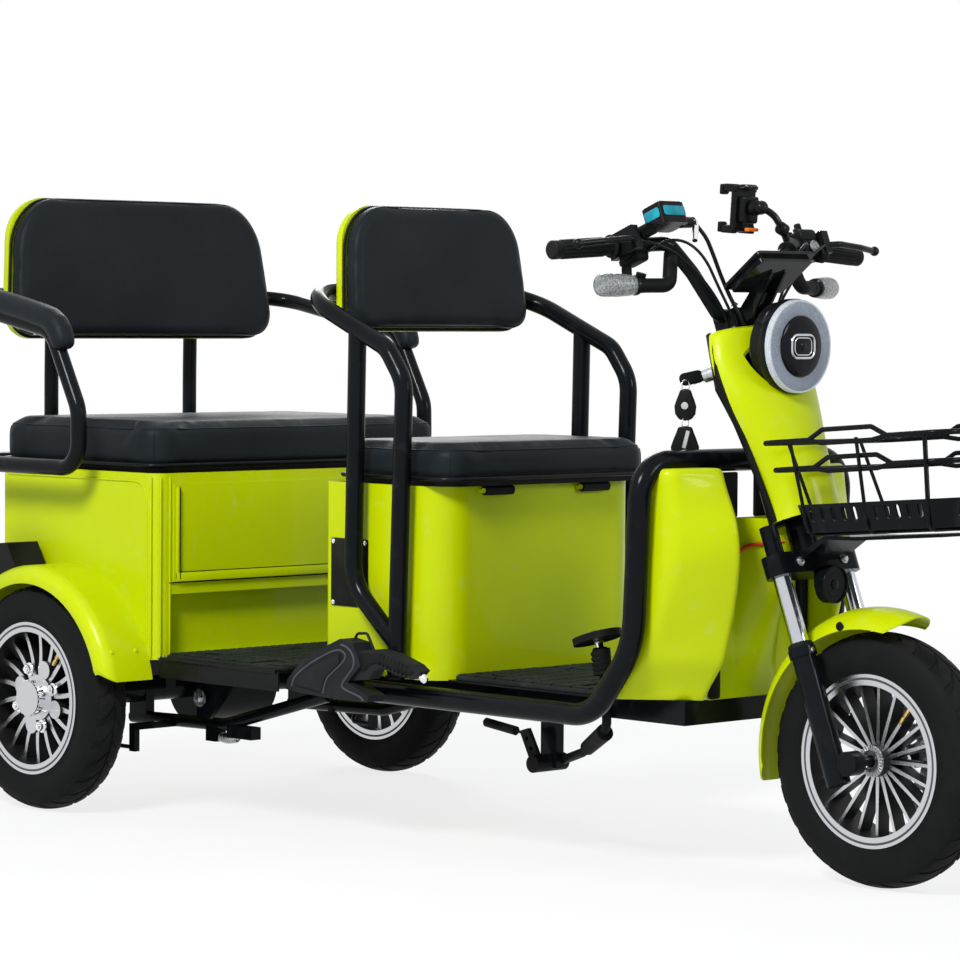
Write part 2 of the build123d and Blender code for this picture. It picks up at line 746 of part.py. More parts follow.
with BuildPart() as rear_fender:
    with BuildSketch(turned(REAR_X, FENDER_SWEEP / 2)):
        with BuildLine():
            under = FENDER_RADIUS - FENDER_WALL
            Line((fender_inner, FENDER_RADIUS), (fender_outer + 24, FENDER_RADIUS))
            ThreePointArc(
                (fender_outer + 24, FENDER_RADIUS),
                (fender_outer + 6, FENDER_RADIUS - 8),
                (fender_outer, FENDER_RADIUS - 33),
            )
            Line((fender_outer, FENDER_RADIUS - 33), (fender_outer + 3, FENDER_RADIUS - 33))
            ThreePointArc(
                (fender_outer + 3, FENDER_RADIUS - 33),
                (fender_outer + 9, under - 8),
                (fender_outer + 25, under),
            )
            Line((fender_outer + 25, under), (fender_inner, under))
            Line((fender_inner, under), (fender_inner, FENDER_RADIUS))
        make_face()
    revolve(axis=Axis((REAR_X, 0, AXLE_Z), (0, -1, 0)), revolution_arc=FENDER_SWEEP)
    for end in (-FENDER_SWEEP / 2, FENDER_SWEEP / 2):
        round_corner(REAR_X, end, fender_outer, 34)
write("rear_fenders", across(rear_fender.part))

with BuildPart() as lamp:
    lamp_outline = [
        (REAR_X - 50, 440),
        (REAR_X - 82, 492),
        (REAR_X - 194, 482),
        (REAR_X - 194, 396),
    ]
    plate(lamp_outline, -REAR_BOX_WIDTH / 2 - 52, 72)
    with Locations(Location((REAR_X, -REAR_BOX_WIDTH / 2 - 52, AXLE_Z), (90, 0, 0))):
        Cylinder(FENDER_RADIUS + 0.2, 100, mode=Mode.SUBTRACT)
write("tail_lamps", across(lamp.part))

with BuildPart() as front_fender:
    with BuildSketch(turned(FRONT_X, FRONT_FENDER_AHEAD)):
        with BuildLine():
            ThreePointArc((-56, 214), (0, 248), (56, 214))
            Line((56, 214), (53, 214))
            ThreePointArc((53, 214), (0, 245), (-53, 214))
            Line((-53, 214), (-56, 214))
        make_face()
    revolve(
        axis=Axis((FRONT_X, 0, AXLE_Z), (0, -1, 0)),
        revolution_arc=FRONT_FENDER_AHEAD + FRONT_FENDER_BEHIND,
    )
    for end in (FRONT_FENDER_AHEAD, -FRONT_FENDER_BEHIND):
        for side in (-1, 1):
            round_corner(FRONT_X, end, side * 56, 42)
write("front_fender", front_fender.part)

# ------------------------------------------------------------------ floors and mats
FLOOR_HALF = REAR_BOX_WIDTH / 2 - 8
SKIRT = 32.0
STEP_HALF = (MAIN_TUBE_SPACING - MAIN_TUBE) / 2 - 3
PEDAL_X = DRIVER_X + 592
PEDAL_Y = -175.0
pedal_slot = ((PEDAL_X - 16, PEDAL_Y - 20, RAIL_TOP - 5), (PEDAL_X + 32, PEDAL_Y + 20, RAIL_TOP + 15))
rear_span = (REAR_FACE_X, DRIVER_X - 20.5)
front_span = (BOX_FRONT_X + 0.5, FLOOR_FRONT)
mat_low, mat_high = RAIL_TOP + SHEET, RAIL_TOP + SHEET + MAT_THICKNESS

with BuildPart() as rear_floor:
    block(
        (rear_span[0], -FLOOR_HALF, RAIL_TOP - SKIRT),
        (rear_span[1], FLOOR_HALF, RAIL_TOP + SHEET),
    )
    block(
        (rear_span[0] - 1, SHEET - FLOOR_HALF, RAIL_TOP - SKIRT - 1),
        (rear_span[1] + 1, FLOOR_HALF - SHEET, RAIL_TOP),
        mode=Mode.SUBTRACT,
    )
with BuildPart() as driver_floor:
    block((front_span[0], -STEP_HALF, RAIL_TOP), (front_span[1], STEP_HALF, RAIL_TOP + SHEET))
    block(*pedal_slot, mode=Mode.SUBTRACT)
write("floor_sheets", Compound(children=[rear_floor.part, driver_floor.part]))

with BuildPart() as rear_mat:
    block(
        (rear_span[0] + 4, 4 - FLOOR_HALF, mat_low),
        (rear_span[1] - 2, FLOOR_HALF - 4, mat_high),
    )
with BuildPart() as driver_mat:
    block((front_span[0] + 3, 3 - STEP_HALF, mat_low), (front_span[1] - 3, STEP_HALF - 3, mat_high))
    block(*pedal_slot, mode=Mode.SUBTRACT)
write("floor_mats", Compound(children=[rear_mat.part, driver_mat.part]))


# ------------------------------------------------------------------ leg shield
def pod_section(z, points):
    """Outline of the leg-shield pod at one height, from its back inner corner round."""
    with BuildSketch(Plane.XY.offset(z), mode=Mode.PRIVATE) as outline:
        with BuildLine():
            Polyline(*[(HOOP_X + x, -y) for x, y in points], close=True)
        make_face()
    return outline.sketch


with BuildPart() as pod:
    loft(
        [
            pod_section(RAIL_TOP + 1, [(-78, 120), (-92, 224), (-72, 227), (66, 126)]),
            pod_section(360, [(-24, 120), (-32, 224), (-10, 227), (100, 126)]),
            pod_section(500, [(21, 120), (4, 226), (40, 227), (122, 126)]),
            pod_section(575, [(21, 120), (4, 226), (44, 224), (120, 124)]),
            pod_section(660, [(21, 110), (4, 220), (34, 214), (44, 112)]),
        ],
        ruled=True,
    )
    tube(hoop_points(-1), MAIN_TUBE + 0.4, HOOP_BENDS, mode=Mode.SUBTRACT)
with BuildPart() as centre_panel:
    block((HOOP_X + 28, -116, RAIL_TOP), (HOOP_X + 32, 116, 590))
    tube(neck_points, NECK_TUBE, 40, mode=Mode.SUBTRACT)
write("leg_shield_pods", across(pod.part))
write("leg_shield_panel", centre_panel.part)

# ------------------------------------------------------------------ parking brake and pedal
BRAKE_Y = -GUARD_SPACING / 2 - 44
BRAKE_X = DRIVER_X + 184
with BuildPart() as parking_brake:
    cover = [
        (BRAKE_X - 205, 262),
        (BRAKE_X - 200, 280),
        (BRAKE_X - 165, 313),
        (BRAKE_X - 137, 329),
        (BRAKE_X - 63, 360),
        (BRAKE_X - 30, 355),
        (BRAKE_X - 10, 317),
        (BRAKE_X - 43, 286),
        (BRAKE_X + 10, 266),
        (BRAKE_X + 7, 255),
        (BRAKE_X - 74, 254),
        (BRAKE_X - 165, 258),
    ]
    plate(cover, BRAKE_Y, 40)
    lever = [
        (BRAKE_X - 44, 330),
        (BRAKE_X - 27, 341),
        (BRAKE_X + 23, 347),
        (BRAKE_X + 67, 341),
        (BRAKE_X + 115, 327),
        (BRAKE_X + 131, 317),
        (BRAKE_X + 113, 302),
        (BRAKE_X + 72, 307),
        (BRAKE_X + 34, 318),
        (BRAKE_X + 17, 310),
        (BRAKE_X + 4, 294),
        (BRAKE_X - 44, 288),
    ]
    plate(lever, BRAKE_Y, 26)
    cone((BRAKE_X + 118, BRAKE_Y, 312), (BRAKE_X + 130, BRAKE_Y, 300), 12, 12)
    loop = [
        (BRAKE_X - 66, BRAKE_Y + 14, 345),
        (BRAKE_X - 56, BRAKE_Y + 14, 368),
        (BRAKE_X - 30, BRAKE_Y + 14, 370),
        (BRAKE_X - 6, BRAKE_Y + 10, 340),
    ]
    tube(loop, CABLE, 10)
    block(
        (BRAKE_X - 110, BRAKE_Y, 256),
        (BRAKE_X - 50, -MAIN_TUBE_SPACING / 2, 268),
    )
    tube(hoop_points(-1), MAIN_TUBE, HOOP_BENDS, mode=Mode.SUBTRACT)
write("parking_brake", parking_brake.part)

PAD_LEAN = 18.0
PAD_Z = RAIL_TOP + 94
with BuildPart() as brake_pedal:
    pad_plane = Plane(
        origin=(PEDAL_X - 14, PEDAL_Y, PAD_Z),
        x_dir=(cos(radians(PAD_LEAN)), 0, sin(radians(PAD_LEAN))),
        z_dir=(-sin(radians(PAD_LEAN)), 0, cos(radians(PAD_LEAN))),
    )
    with BuildSketch(pad_plane.offset(-6)):
        Ellipse(46, 38)
    extrude(amount=12)
    tube([(PEDAL_X - 10, PEDAL_Y, PAD_Z - 2), (PEDAL_X - 2, PEDAL_Y, PAD_Z - 28)], 10)
    cone((PEDAL_X - 4, PEDAL_Y, PAD_Z - 18), (PEDAL_X + 4, PEDAL_Y, PAD_Z - 62), 30, 26)
    arm = [
        (PEDAL_X - 2, PEDAL_Y, PAD_Z - 32),
        (PEDAL_X + 8, PEDAL_Y, RAIL_TOP - 10),
        (PEDAL_X + 2, PEDAL_Y + 8, 232),
        (PEDAL_X - 90, PEDAL_Y + 45, 180),
        (PEDAL_PIVOT_X, -92, 154),
    ]
    tube(arm, 16, (40, 30, 40))
    cone((PEDAL_X - 8, PEDAL_Y + 14, 224), (PEDAL_X - 72, PEDAL_Y + 38, 190), 30, 26)
    tube([(PEDAL_PIVOT_X, -160, 154), (PEDAL_PIVOT_X, -84, 154)], 30)
    link = [
        (PEDAL_PIVOT_X - 12, 158),
        (PEDAL_PIVOT_X + 14, 158),
        (PEDAL_PIVOT_X - 18, 214),
        (PEDAL_PIVOT_X - 38, 208),
    ]
    plate(link, -150, 8)
    for x, z in ((PEDAL_PIVOT_X - 20, 196), (PEDAL_PIVOT_X - 10, 180)):
        with Locations(Location((x, -150, z), (90, 0, 0))):
            Cylinder(4, 12, mode=Mode.SUBTRACT)
    tube([(PEDAL_PIVOT_X - 30, -150, 204), (PEDAL_PIVOT_X - 130, -150, 216)], 5)
    tube([(PEDAL_PIVOT_X - 50, -150, 206.4), (PEDAL_PIVOT_X - 124, -150, 215.3)], 16)
    add(chassis_frame.part, mode=Mode.SUBTRACT)
write("brake_pedal", brake_pedal.part)

# ------------------------------------------------------------------ fork, about the steering axis
CROWN_DEPTH = 50.0
FORK_TOP = 398.0
SLIDER_TOP = 190.0
STEM_TOP = 746.0
with BuildPart() as crown:
    with BuildSketch(Plane.XY.offset(CROWN_BOTTOM)):
        SlotCenterToCenter(FORK_SPACING, CROWN_DEPTH, rotation=90)
        for side in (-1, 1):
            with Locations((0, side * FORK_SPACING / 2)):
                Circle(FORK_TUBE / 2 + 0.1, mode=Mode.SUBTRACT)
    extrude(amount=CROWN_TOP - CROWN_BOTTOM)
    with BuildSketch(Plane.XY.offset(CROWN_TOP)):
        Circle(STEM / 2)
    extrude(amount=STEM_TOP - CROWN_TOP)
write("fork_crown", steered(crown.part))

with BuildPart() as legs:
    for side in (-1, 1):
        y = side * FORK_SPACING / 2
        tube([(0, y, SLIDER_TOP - 40), (0, y, FORK_TOP)], FORK_TUBE)
        tube([(0, y, -40), (0, y, SLIDER_TOP)], FORK_SLIDER)
        tube([(0, y, SLIDER_TOP - 14), (0, y, SLIDER_TOP)], FORK_SLIDER + 6)
        with Locations(Location((FRONT_AXLE.X, y, FRONT_AXLE.Z), (90, 0, 0))):
            Cylinder(20, 26)
        block((0, y - 10, FRONT_AXLE.Z - 17), (FRONT_AXLE.X, y + 10, FRONT_AXLE.Z + 17))
    with Locations(Location((FRONT_AXLE.X, 0, FRONT_AXLE.Z), (90, 0, 0))):
        Cylinder(AXLE_DIAMETER / 2 - 0.2, FORK_SPACING)
write("fork_legs", steered(legs.part))

with BuildPart() as caliper:
    block((-23, DISC_Y - 14, 35), (11, FORK_SPACING / 2, 81))
    with Locations(Location((FRONT_AXLE.X, DISC_Y + DISC_THICKNESS / 2, FRONT_AXLE.Z), (90, 0, 0))):
        Cylinder(DISC_DIAMETER / 2 + 6, DISC_THICKNESS + 12, mode=Mode.SUBTRACT)
    add(legs.part, mode=Mode.SUBTRACT)
write("brake_caliper", steered(caliper.part))

# ------------------------------------------------------------------ head shell and headlight
SHELL_WALL = 3.0
SHELL_SPLIT = 5.0
SHELL_LEVELS = (402, 534, 640, 735)
SHELL_HALF_WIDTHS = (72, 88, 112, 98)
SHELL_DEPTHS = (66, 66, 55, 48)
BACK_DEPTHS = (8, 11, 42, 40)
CABLE_HOLE = (40, 56)
LIGHT_PLACE = STEERING.from_local_coords(Vector(83.28, 0, 682.04))
LIGHT_X, LIGHT_Z = LIGHT_PLACE.X, LIGHT_PLACE.Z


def add_shell(depths, inset, base, mode, ruled=False):
    """Add or cut the head shell's body, drawn in by an inset, from a base height up."""
    sections = []
    levels = (base, *SHELL_LEVELS[1:-1], SHELL_LEVELS[-1] - inset)
    for level, width, depth in zip(levels, SHELL_HALF_WIDTHS, depths):
        with BuildSketch(Plane.XY.offset(level), mode=Mode.PRIVATE) as outline:
            with Locations((SHELL_SPLIT, 0)):
                Ellipse(depth - inset, width - inset)
        sections.append(outline.sketch)
    loft(sections, ruled=ruled, mode=mode)


def cut_shell(side):
    """Cut off one half of a head shell in the making, and the hole round the stem at its top."""
    with BuildSketch(Plane.XY.offset(380), mode=Mode.PRIVATE) as half:
        with Locations((SHELL_SPLIT + side * 100, 0)):
            Rectangle(200, 320)
    extrude(half.sketch, amount=420, mode=Mode.SUBTRACT)
    with BuildSketch(Plane.XY.offset(700), mode=Mode.PRIVATE) as hole:
        Ellipse(*CABLE_HOLE)
    extrude(hole.sketch, amount=60, mode=Mode.SUBTRACT)


with BuildPart() as light_bowl:
    cone((LIGHT_X - 38, 0, LIGHT_Z), (LIGHT_X - 24, 0, LIGHT_Z), 118, 146)
    cone((LIGHT_X - 24, 0, LIGHT_Z), (LIGHT_X - 2, 0, LIGHT_Z), 146, 150)
with BuildPart() as light_lens:
    with BuildSketch(Plane(origin=(LIGHT_X - 2, 0, LIGHT_Z), z_dir=(1, 0, 0))):
        Circle(HEADLIGHT_DIAMETER / 2)
    extrude(amount=24)
    fillet(light_lens.edges().sort_by(Axis.X)[-1], 6)
write("headlight_bowl", light_bowl.part)
write("headlight", light_lens.part)

with BuildPart() as shell_front:
    add_shell(SHELL_DEPTHS, 0, SHELL_LEVELS[0], Mode.ADD)
    fillet(shell_front.faces().sort_by(Axis.Z)[-1].edges(), 14)
    add_shell(SHELL_DEPTHS, SHELL_WALL, SHELL_LEVELS[0] - 1, Mode.SUBTRACT)
    cut_shell(-1)
with BuildPart() as head_shell:
    add(steered(shell_front.part))
    tube([(LIGHT_X - 38, 0, LIGHT_Z), (LIGHT_X - 2.5, 0, LIGHT_Z)], 151, mode=Mode.SUBTRACT)
    tube([(LIGHT_X - 2.5, 0, LIGHT_Z), (LIGHT_X + 60, 0, LIGHT_Z)], 156, mode=Mode.SUBTRACT)
write("head_shell", head_shell.part)

with BuildPart() as shell_back:
    add_shell(BACK_DEPTHS, 0, SHELL_LEVELS[0], Mode.ADD, ruled=True)
    block((-60, -60, 380), (60, 60, 570), mode=Mode.SUBTRACT)
    with BuildSketch(Plane.XY.offset(570)):
        with Locations((SHELL_SPLIT, 0)):
            Ellipse(30, 84)
    extrude(amount=160, mode=Mode.SUBTRACT)
    cut_shell(1)
write("head_shell_back", steered(shell_back.part))

with BuildPart() as lock:
    lock_base = (-34, -64, 680)
    cone(lock_base, (-52, -72, 680), 26, 24)
    cone((-52, -72, 680), (-56, -74, 680), 16, 16)
    block((-76, -76, 674), (-54, -72, 688))
    add(shell_back.part, mode=Mode.SUBTRACT)
write("ignition_lock", steered(lock.part))

with BuildPart() as neck_cover:
    with BuildSketch(STEERING.offset(HEAD_BOTTOM + 50)):
        RectangleRounded(84, 80, 20)
    extrude(amount=HEAD_TOP - HEAD_BOTTOM - 54)
    with BuildSketch(STEERING.offset(HEAD_BOTTOM + 48)):
        Circle(HEAD_TUBE / 2 + 0.3)
    extrude(amount=HEAD_TOP - HEAD_BOTTOM, mode=Mode.SUBTRACT)
    add(chassis_frame.part, mode=Mode.SUBTRACT)
write("neck_cover", neck_cover.part)

# ------------------------------------------------------------------ handlebar and its controls
BAR_BENDS = (20, 60, 30, 60)
GRIP_START = 250.0
BAR_END = 378.0


def bar_points(side):
    """Corner points of half of the handlebar, from the clamp out to its end."""
    return [
        (-8, 0, 767),
        (-10, side * 45, 772),
        (6, side * 100, 841),
        (16, side * 150, 888),
        (-15, side * 230, 895),
        (-28, side * BAR_END, 890),
    ]


with BuildPart() as handlebar:
    for side in (-1, 1):
        tube(bar_points(side), BAR_TUBE, BAR_BENDS)
    block((-33, -35, STEM_TOP + 0.5), (17, 35, 776))
write("handlebar", steered(handlebar.part))

with BuildPart() as grips:
    for side in (-1, 1):
        tube([(-16.8, side * GRIP_START, 894.3), (-28.4, side * (BAR_END + 5), 889.8)], GRIP_DIAMETER)
        with Locations(Location((-17, side * (GRIP_START + 3), 894.2), (90, 0, 0))):
            Cylinder(19, 5)
    add(handlebar.part, mode=Mode.SUBTRACT)
write("grips", steered(grips.part))

with BuildPart() as levers:
    for side in (-1, 1):
        block((-31, side * 237 - 8, 874), (30, side * 237 + 8, 914))
        blade = [
            (22, side * 232, 890),
            (36, side * 262, 887),
            (32, side * 320, 883),
            (20.4, side * 366, 882),
        ]
        tube(blade, 11, (20, 40))
        with Locations((20.4, side * 369, 882)):
            Sphere(8.5)
    add(handlebar.part, mode=Mode.SUBTRACT)
    add(grips.part, mode=Mode.SUBTRACT)
write("brake_levers", steered(levers.part))

with BuildPart() as switches:
    block((-40, -226, 858), (10, -190, 908))
    block((-22, 184, 872), (26, 226, 922))
    cone((14, 252, 882), (22, 252, 879), 26, 30)
    block((2, 222, 872), (16, 258, 892))
    block((-20, 196, 922), (-6, 210, 938))
    cone((2, 205, 922), (2, 205, 940), 12, 10)
    add(handlebar.part, mode=Mode.SUBTRACT)
    add(levers.part, mode=Mode.SUBTRACT)
    add(grips.part, mode=Mode.SUBTRACT)
write("switch_gear", steered(switches.part))

with BuildPart() as reservoir:
    block((19, -201, 906), (65, -141, 942))
    fillet(reservoir.edges().filter_by(Axis.Z), 8)
    block((10.5, -216, 897), (38, -196, 914))
    cone((46, -142, 914), (46, -118, 914), 20, 18)
    cone((46, -120, 914), (46, -108, 914), 14, 14)
    add(handlebar.part, mode=Mode.SUBTRACT)
    add(levers.part, mode=Mode.SUBTRACT)
    add(switches.part, mode=Mode.SUBTRACT)
write("brake_reservoir", steered(reservoir.part))

DISPLAY_TILT = 16.6
DISPLAY_THICKNESS = 15.0
with BuildPart() as display:
    screen = Plane(
        origin=(82, 0, 817.6),
        x_dir=(cos(radians(DISPLAY_TILT)), 0, sin(radians(DISPLAY_TILT))),
        z_dir=(-sin(radians(DISPLAY_TILT)), 0, cos(radians(DISPLAY_TILT))),
    )
    with BuildSketch(screen.offset(-4)):
        RectangleRounded(DISPLAY_HEIGHT, DISPLAY_WIDTH, 5)
    extrude(amount=4)
    with BuildSketch(screen.offset(-DISPLAY_THICKNESS)):
        RectangleRounded(DISPLAY_HEIGHT - 14, DISPLAY_WIDTH - 14, 5)
    extrude(amount=DISPLAY_THICKNESS - 4)
    for side in (-1, 1):
        bracket = [(17, 750), (34, 750), (104, 806), (84, 806), (58, 800), (17, 775)]
        plate(bracket, side * 16, 5)
    block((17, -18.5, 750), (23, 18.5, 775))
write("display", steered(display.part))

with BuildPart() as signals:
    for side in (-1, 1):
        tube([(12, side * 146, 872), (6, side * 164, 818), (-12, side * 222, 824)], 24, 16)
        cone((-6, side * 204, 822), (-31, side * 285, 832), 24, 36)
    add(handlebar.part, mode=Mode.SUBTRACT)
write("turn_signals", steered(signals.part))

HOLDER_LEAN = 14.0
with BuildPart() as phone_holder:
    back_plate = Plane(
        origin=(-10, 100, 968),
        x_dir=(0, 1, 0),
        z_dir=(-cos(radians(HOLDER_LEAN)), 0, -sin(radians(HOLDER_LEAN))),
    )
    with BuildSketch(back_plate):
        RectangleRounded(52, 76, 6)
    extrude(amount=10)
    with BuildSketch(back_plate.offset(-14)):
        RectangleRounded(40, 46, 4)
    extrude(amount=16)
    with BuildSketch(back_plate.offset(6)):
        for x in (-24, 24):
            for z in (-32, 32):
                with Locations((x, z)):
                    RectangleRounded(14, 14, 3)
    extrude(amount=18)
    with Locations((22, 100, 956)):
        Sphere(13)
    cone((0, 100, 962), (20, 100, 957), 22, 20)
    tube([(24, 104, 954), (30, 118, 940), (22, 144, 900), (17, 149, 888)], 10, (8, 14))
    tube([(19, 138, 878), (11, 163, 890)], 34)
    add(handlebar.part, mode=Mode.SUBTRACT)
    add(signals.part, mode=Mode.SUBTRACT)
write("phone_holder", steered(phone_holder.part))


# ------------------------------------------------------------------ cables and brake hose
def cord_bends(points):
    """Bend radius at each corner, from the shorter run beside it and its turn."""
    radii = []
    for before, corner, after in zip(points, points[1:], points[2:]):
        first = Vector(*corner) - Vector(*before)
        second = Vector(*after) - Vector(*corner)
        turn = radians(first.get_angle(second))
        radii.append(0.45 * min(first.length, second.length) / tan(turn / 2))
    return radii


hose_points = [
    (46, -109, 914),
    (48, -92, 894),
    (40, -76, 862),
    (30, -60, 828),
    (24, -44, 788),
    (24, -29, 752),
    (17, -22, 722),
    (14, -20, 696),
]
lever_cable = [
    (30, -228, 886),
    (38, -204, 878),
    (42, -178, 866),
    (40, -150, 848),
    (36, -118, 824),
    (28, -84, 790),
    (14, -56, 756),
    (0, -34, 724),
    (-4, -26, 694),
]
switch_cable = [
    (10, -196, 876),
    (28, -184, 884),
    (46, -164, 884),
    (54, -138, 872),
    (50, -108, 846),
    (38, -84, 808),
    (28, -60, 770),
    (20, -42, 738),
    (14, -32, 706),
]
with BuildPart() as cables:
    for points in (lever_cable, switch_cable):
        for side in (1, -1):
            points = [(x, side * y, z) for x, y, z in points]
            tube(points, CABLE, cord_bends(points))
    tube(hose_points, HOSE, cord_bends(hose_points))
    add(levers.part, mode=Mode.SUBTRACT)
    add(switches.part, mode=Mode.SUBTRACT)
    add(reservoir.part, mode=Mode.SUBTRACT)
write("control_cables", steered(cables.part))
for label, points in (
    ("brake hose", hose_points),
    ("lever cable", lever_cable),
    ("switch cable", switch_cable),
):
    print(label, "bend radii", [round(radius) for radius in cord_bends(points)])

# ------------------------------------------------------------------ horn and basket
TRAY_LENGTH = 316.0
TRAY_WIDTH = 320.0
TRAY_WALL = 3.0
HORN_PLACE = STEERING.from_local_coords(Vector(27.8, 0, 287.4))
HORN_X, HORN_Z = HORN_PLACE.X, HORN_PLACE.Z
with BuildPart() as horn:
    with BuildSketch(Plane(origin=(HORN_X - 6, 0, HORN_Z), z_dir=(1, 0, 0))):
        Circle(31.5)
    extrude(amount=16)
    with BuildSketch(Plane(origin=(HORN_X - 14, 0, HORN_Z), z_dir=(1, 0, 0))):
        Circle(20)
    extrude(amount=8)
    block((HORN_X - 24, -12, HORN_Z - 6), (HORN_X - 12, 12, HORN_Z + 19))
    add(steered(crown.part), mode=Mode.SUBTRACT)
write("horn", horn.part)

pitch = radians(BASKET_PITCH)
BASKET = Plane(
    origin=(FRONT_X + 89, 0, 588),
    x_dir=(cos(pitch), 0, sin(pitch)),
    z_dir=(-sin(pitch), 0, cos(pitch)),
)
RIM_LEVEL = 148.0
MIDDLE_LEVEL = 104.0
TRAY_HEIGHT = 46.0
RIM_BACK = -TRAY_LENGTH / 2 - 52
WAVE = 15.0


def ring_points(level, grow, wave):
    """Corner points of one basket wire, humped by the wave in the middle of each side."""
    back, front = RIM_BACK - grow, RIM_BACK + BASKET_LENGTH + grow
    half = BASKET_WIDTH / 2 + grow
    middle = (back + front) / 2
    return [
        (middle, -half, level + wave),
        (middle + 50, -half, level + wave),
        (middle + 80, -half, level),
        (front, -half, level),
        (front, -60, level),
        (front, -35, level + wave),
        (front, 35, level + wave),
        (front, 60, level),
        (front, half, level),
        (middle + 80, half, level),
        (middle + 50, half, level + wave),
        (middle - 50, half, level + wave),
        (middle - 80, half, level),
        (back, half, level),
        (back, -half, level),
        (middle - 80, -half, level),
        (middle - 50, -half, level + wave),
        (middle, -half, level + wave),
    ]


RING_BENDS = (0, 10, 10, 40, 10, 10, 10, 10, 40, 10, 10, 10, 10, 40, 40, 10, 10)


def add_tray(grow, base, mode):
    """Add or cut the tapering body of the tray, grown all round, from a base height up."""
    sections = []
    for level, length, width, corner in (
        (base, TRAY_LENGTH - 24, TRAY_WIDTH - 24, 34),
        (TRAY_HEIGHT, TRAY_LENGTH, TRAY_WIDTH, 40),
    ):
        with BuildSketch(Plane.XY.offset(level), mode=Mode.PRIVATE) as outline:
            RectangleRounded(length + 2 * grow, width + 2 * grow, corner + grow)
        sections.append(outline.sketch)
    loft(sections, mode=mode)


with BuildPart() as basket_tray:
    add_tray(0, 0, Mode.ADD)
    add_tray(-TRAY_WALL, TRAY_WALL, Mode.SUBTRACT)
    for plane, reach in ((Plane.XZ, TRAY_WIDTH), (Plane.YZ, TRAY_LENGTH)):
        with BuildSketch(plane.offset(-reach)):
            with Locations((0, TRAY_HEIGHT - 17)):
                with GridLocations(22, 0, 11, 1):
                    SlotOverall(22, 9, rotation=90)
        extrude(amount=2 * reach, mode=Mode.SUBTRACT)
write("basket_tray", basket_tray.part.moved(BASKET.location))

with BuildPart() as basket_wires:
    for level in (RIM_LEVEL, MIDDLE_LEVEL):
        grow = 0 if level == RIM_LEVEL else -10
        tube(ring_points(level, grow, WAVE), BASKET_WIRE, RING_BENDS)
        tube(ring_points(level - 1, grow, -WAVE / 3), BASKET_WIRE, RING_BENDS)
    half = BASKET_WIDTH / 2
    for x in (-TRAY_LENGTH / 2 + 36, 0, TRAY_LENGTH / 2 - 36):
        lean = x * 0.12
        stirrup = [
            (x + lean, -half, RIM_LEVEL),
            (x, 8 - TRAY_WIDTH / 2, -3),
            (x, TRAY_WIDTH / 2 - 8, -3),
            (x + lean, half, RIM_LEVEL),
        ]
        tube(stirrup, 6, 20)
    for y in (-90, 90):
        stirrup = [
            (RIM_BACK, y, RIM_LEVEL),
            (8 - TRAY_LENGTH / 2, y, -3),
            (TRAY_LENGTH / 2 - 8, y, -3),
            (RIM_BACK + BASKET_LENGTH, y, RIM_LEVEL),
        ]
        tube(stirrup, 6, 20)
    add_tray(0.3, -0.2, Mode.SUBTRACT)
write("basket_wires", basket_wires.part.moved(BASKET.location))

with BuildPart() as basket_bracket:
    crown_front = STEERING.from_local_coords(Vector(CROWN_DEPTH / 2 - 2, 0, CROWN_TOP - 12))
    strap = [
        (crown_front.X, crown_front.Z + 6),
        (crown_front.X + 58, crown_front.Z + 40),
        (crown_front.X + 120, 570),
        (FRONT_X + 160, 583),
        (FRONT_X + 160, 578),
        (crown_front.X + 122, 564),
        (crown_front.X + 60, crown_front.Z + 33),
        (crown_front.X, crown_front.Z - 8),
    ]
    plate(strap, 0, 110)
    add(steered(crown.part), mode=Mode.SUBTRACT)
    add(horn.part, mode=Mode.SUBTRACT)
    add(basket_wires.part.moved(BASKET.location), mode=Mode.SUBTRACT)
    add(basket_tray.part.moved(BASKET.location), mode=Mode.SUBTRACT)
write("basket_bracket", basket_bracket.part)
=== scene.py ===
"""Looks of an electric passenger tricycle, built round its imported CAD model.

+X is forward, +Y is to the left and +Z is up, in metres, with the origin on the ground.
"""

from __future__ import annotations

import json
import logging
import math
from contextlib import contextmanager
from dataclasses import dataclass
from enum import Enum
from typing import Any, Callable, Iterator, Mapping, Sequence

import bpy
from mathutils import Matrix, Vector, noise

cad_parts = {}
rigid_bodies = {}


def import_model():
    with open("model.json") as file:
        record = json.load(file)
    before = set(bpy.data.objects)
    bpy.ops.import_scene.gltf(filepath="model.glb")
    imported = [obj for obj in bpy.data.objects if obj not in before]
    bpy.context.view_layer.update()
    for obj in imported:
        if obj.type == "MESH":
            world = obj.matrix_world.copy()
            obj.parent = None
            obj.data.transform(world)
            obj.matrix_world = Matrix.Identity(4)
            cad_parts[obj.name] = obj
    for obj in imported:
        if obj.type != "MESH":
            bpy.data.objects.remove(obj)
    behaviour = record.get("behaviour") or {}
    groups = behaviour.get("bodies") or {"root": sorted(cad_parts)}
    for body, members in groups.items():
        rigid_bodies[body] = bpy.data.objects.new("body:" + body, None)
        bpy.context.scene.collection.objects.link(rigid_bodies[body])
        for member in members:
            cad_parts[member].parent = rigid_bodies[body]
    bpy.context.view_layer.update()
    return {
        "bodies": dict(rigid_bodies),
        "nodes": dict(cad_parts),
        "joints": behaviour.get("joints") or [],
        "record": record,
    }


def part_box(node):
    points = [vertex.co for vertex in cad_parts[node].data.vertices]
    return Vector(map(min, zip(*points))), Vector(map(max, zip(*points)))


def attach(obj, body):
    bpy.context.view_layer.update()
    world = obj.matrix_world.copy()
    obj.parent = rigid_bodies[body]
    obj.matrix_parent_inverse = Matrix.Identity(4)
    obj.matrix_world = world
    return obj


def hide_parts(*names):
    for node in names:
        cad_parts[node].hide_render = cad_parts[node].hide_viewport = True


LOG = logging.getLogger("tricycle")
Point = tuple[float, float, float]
Test = Callable[[Vector], bool]

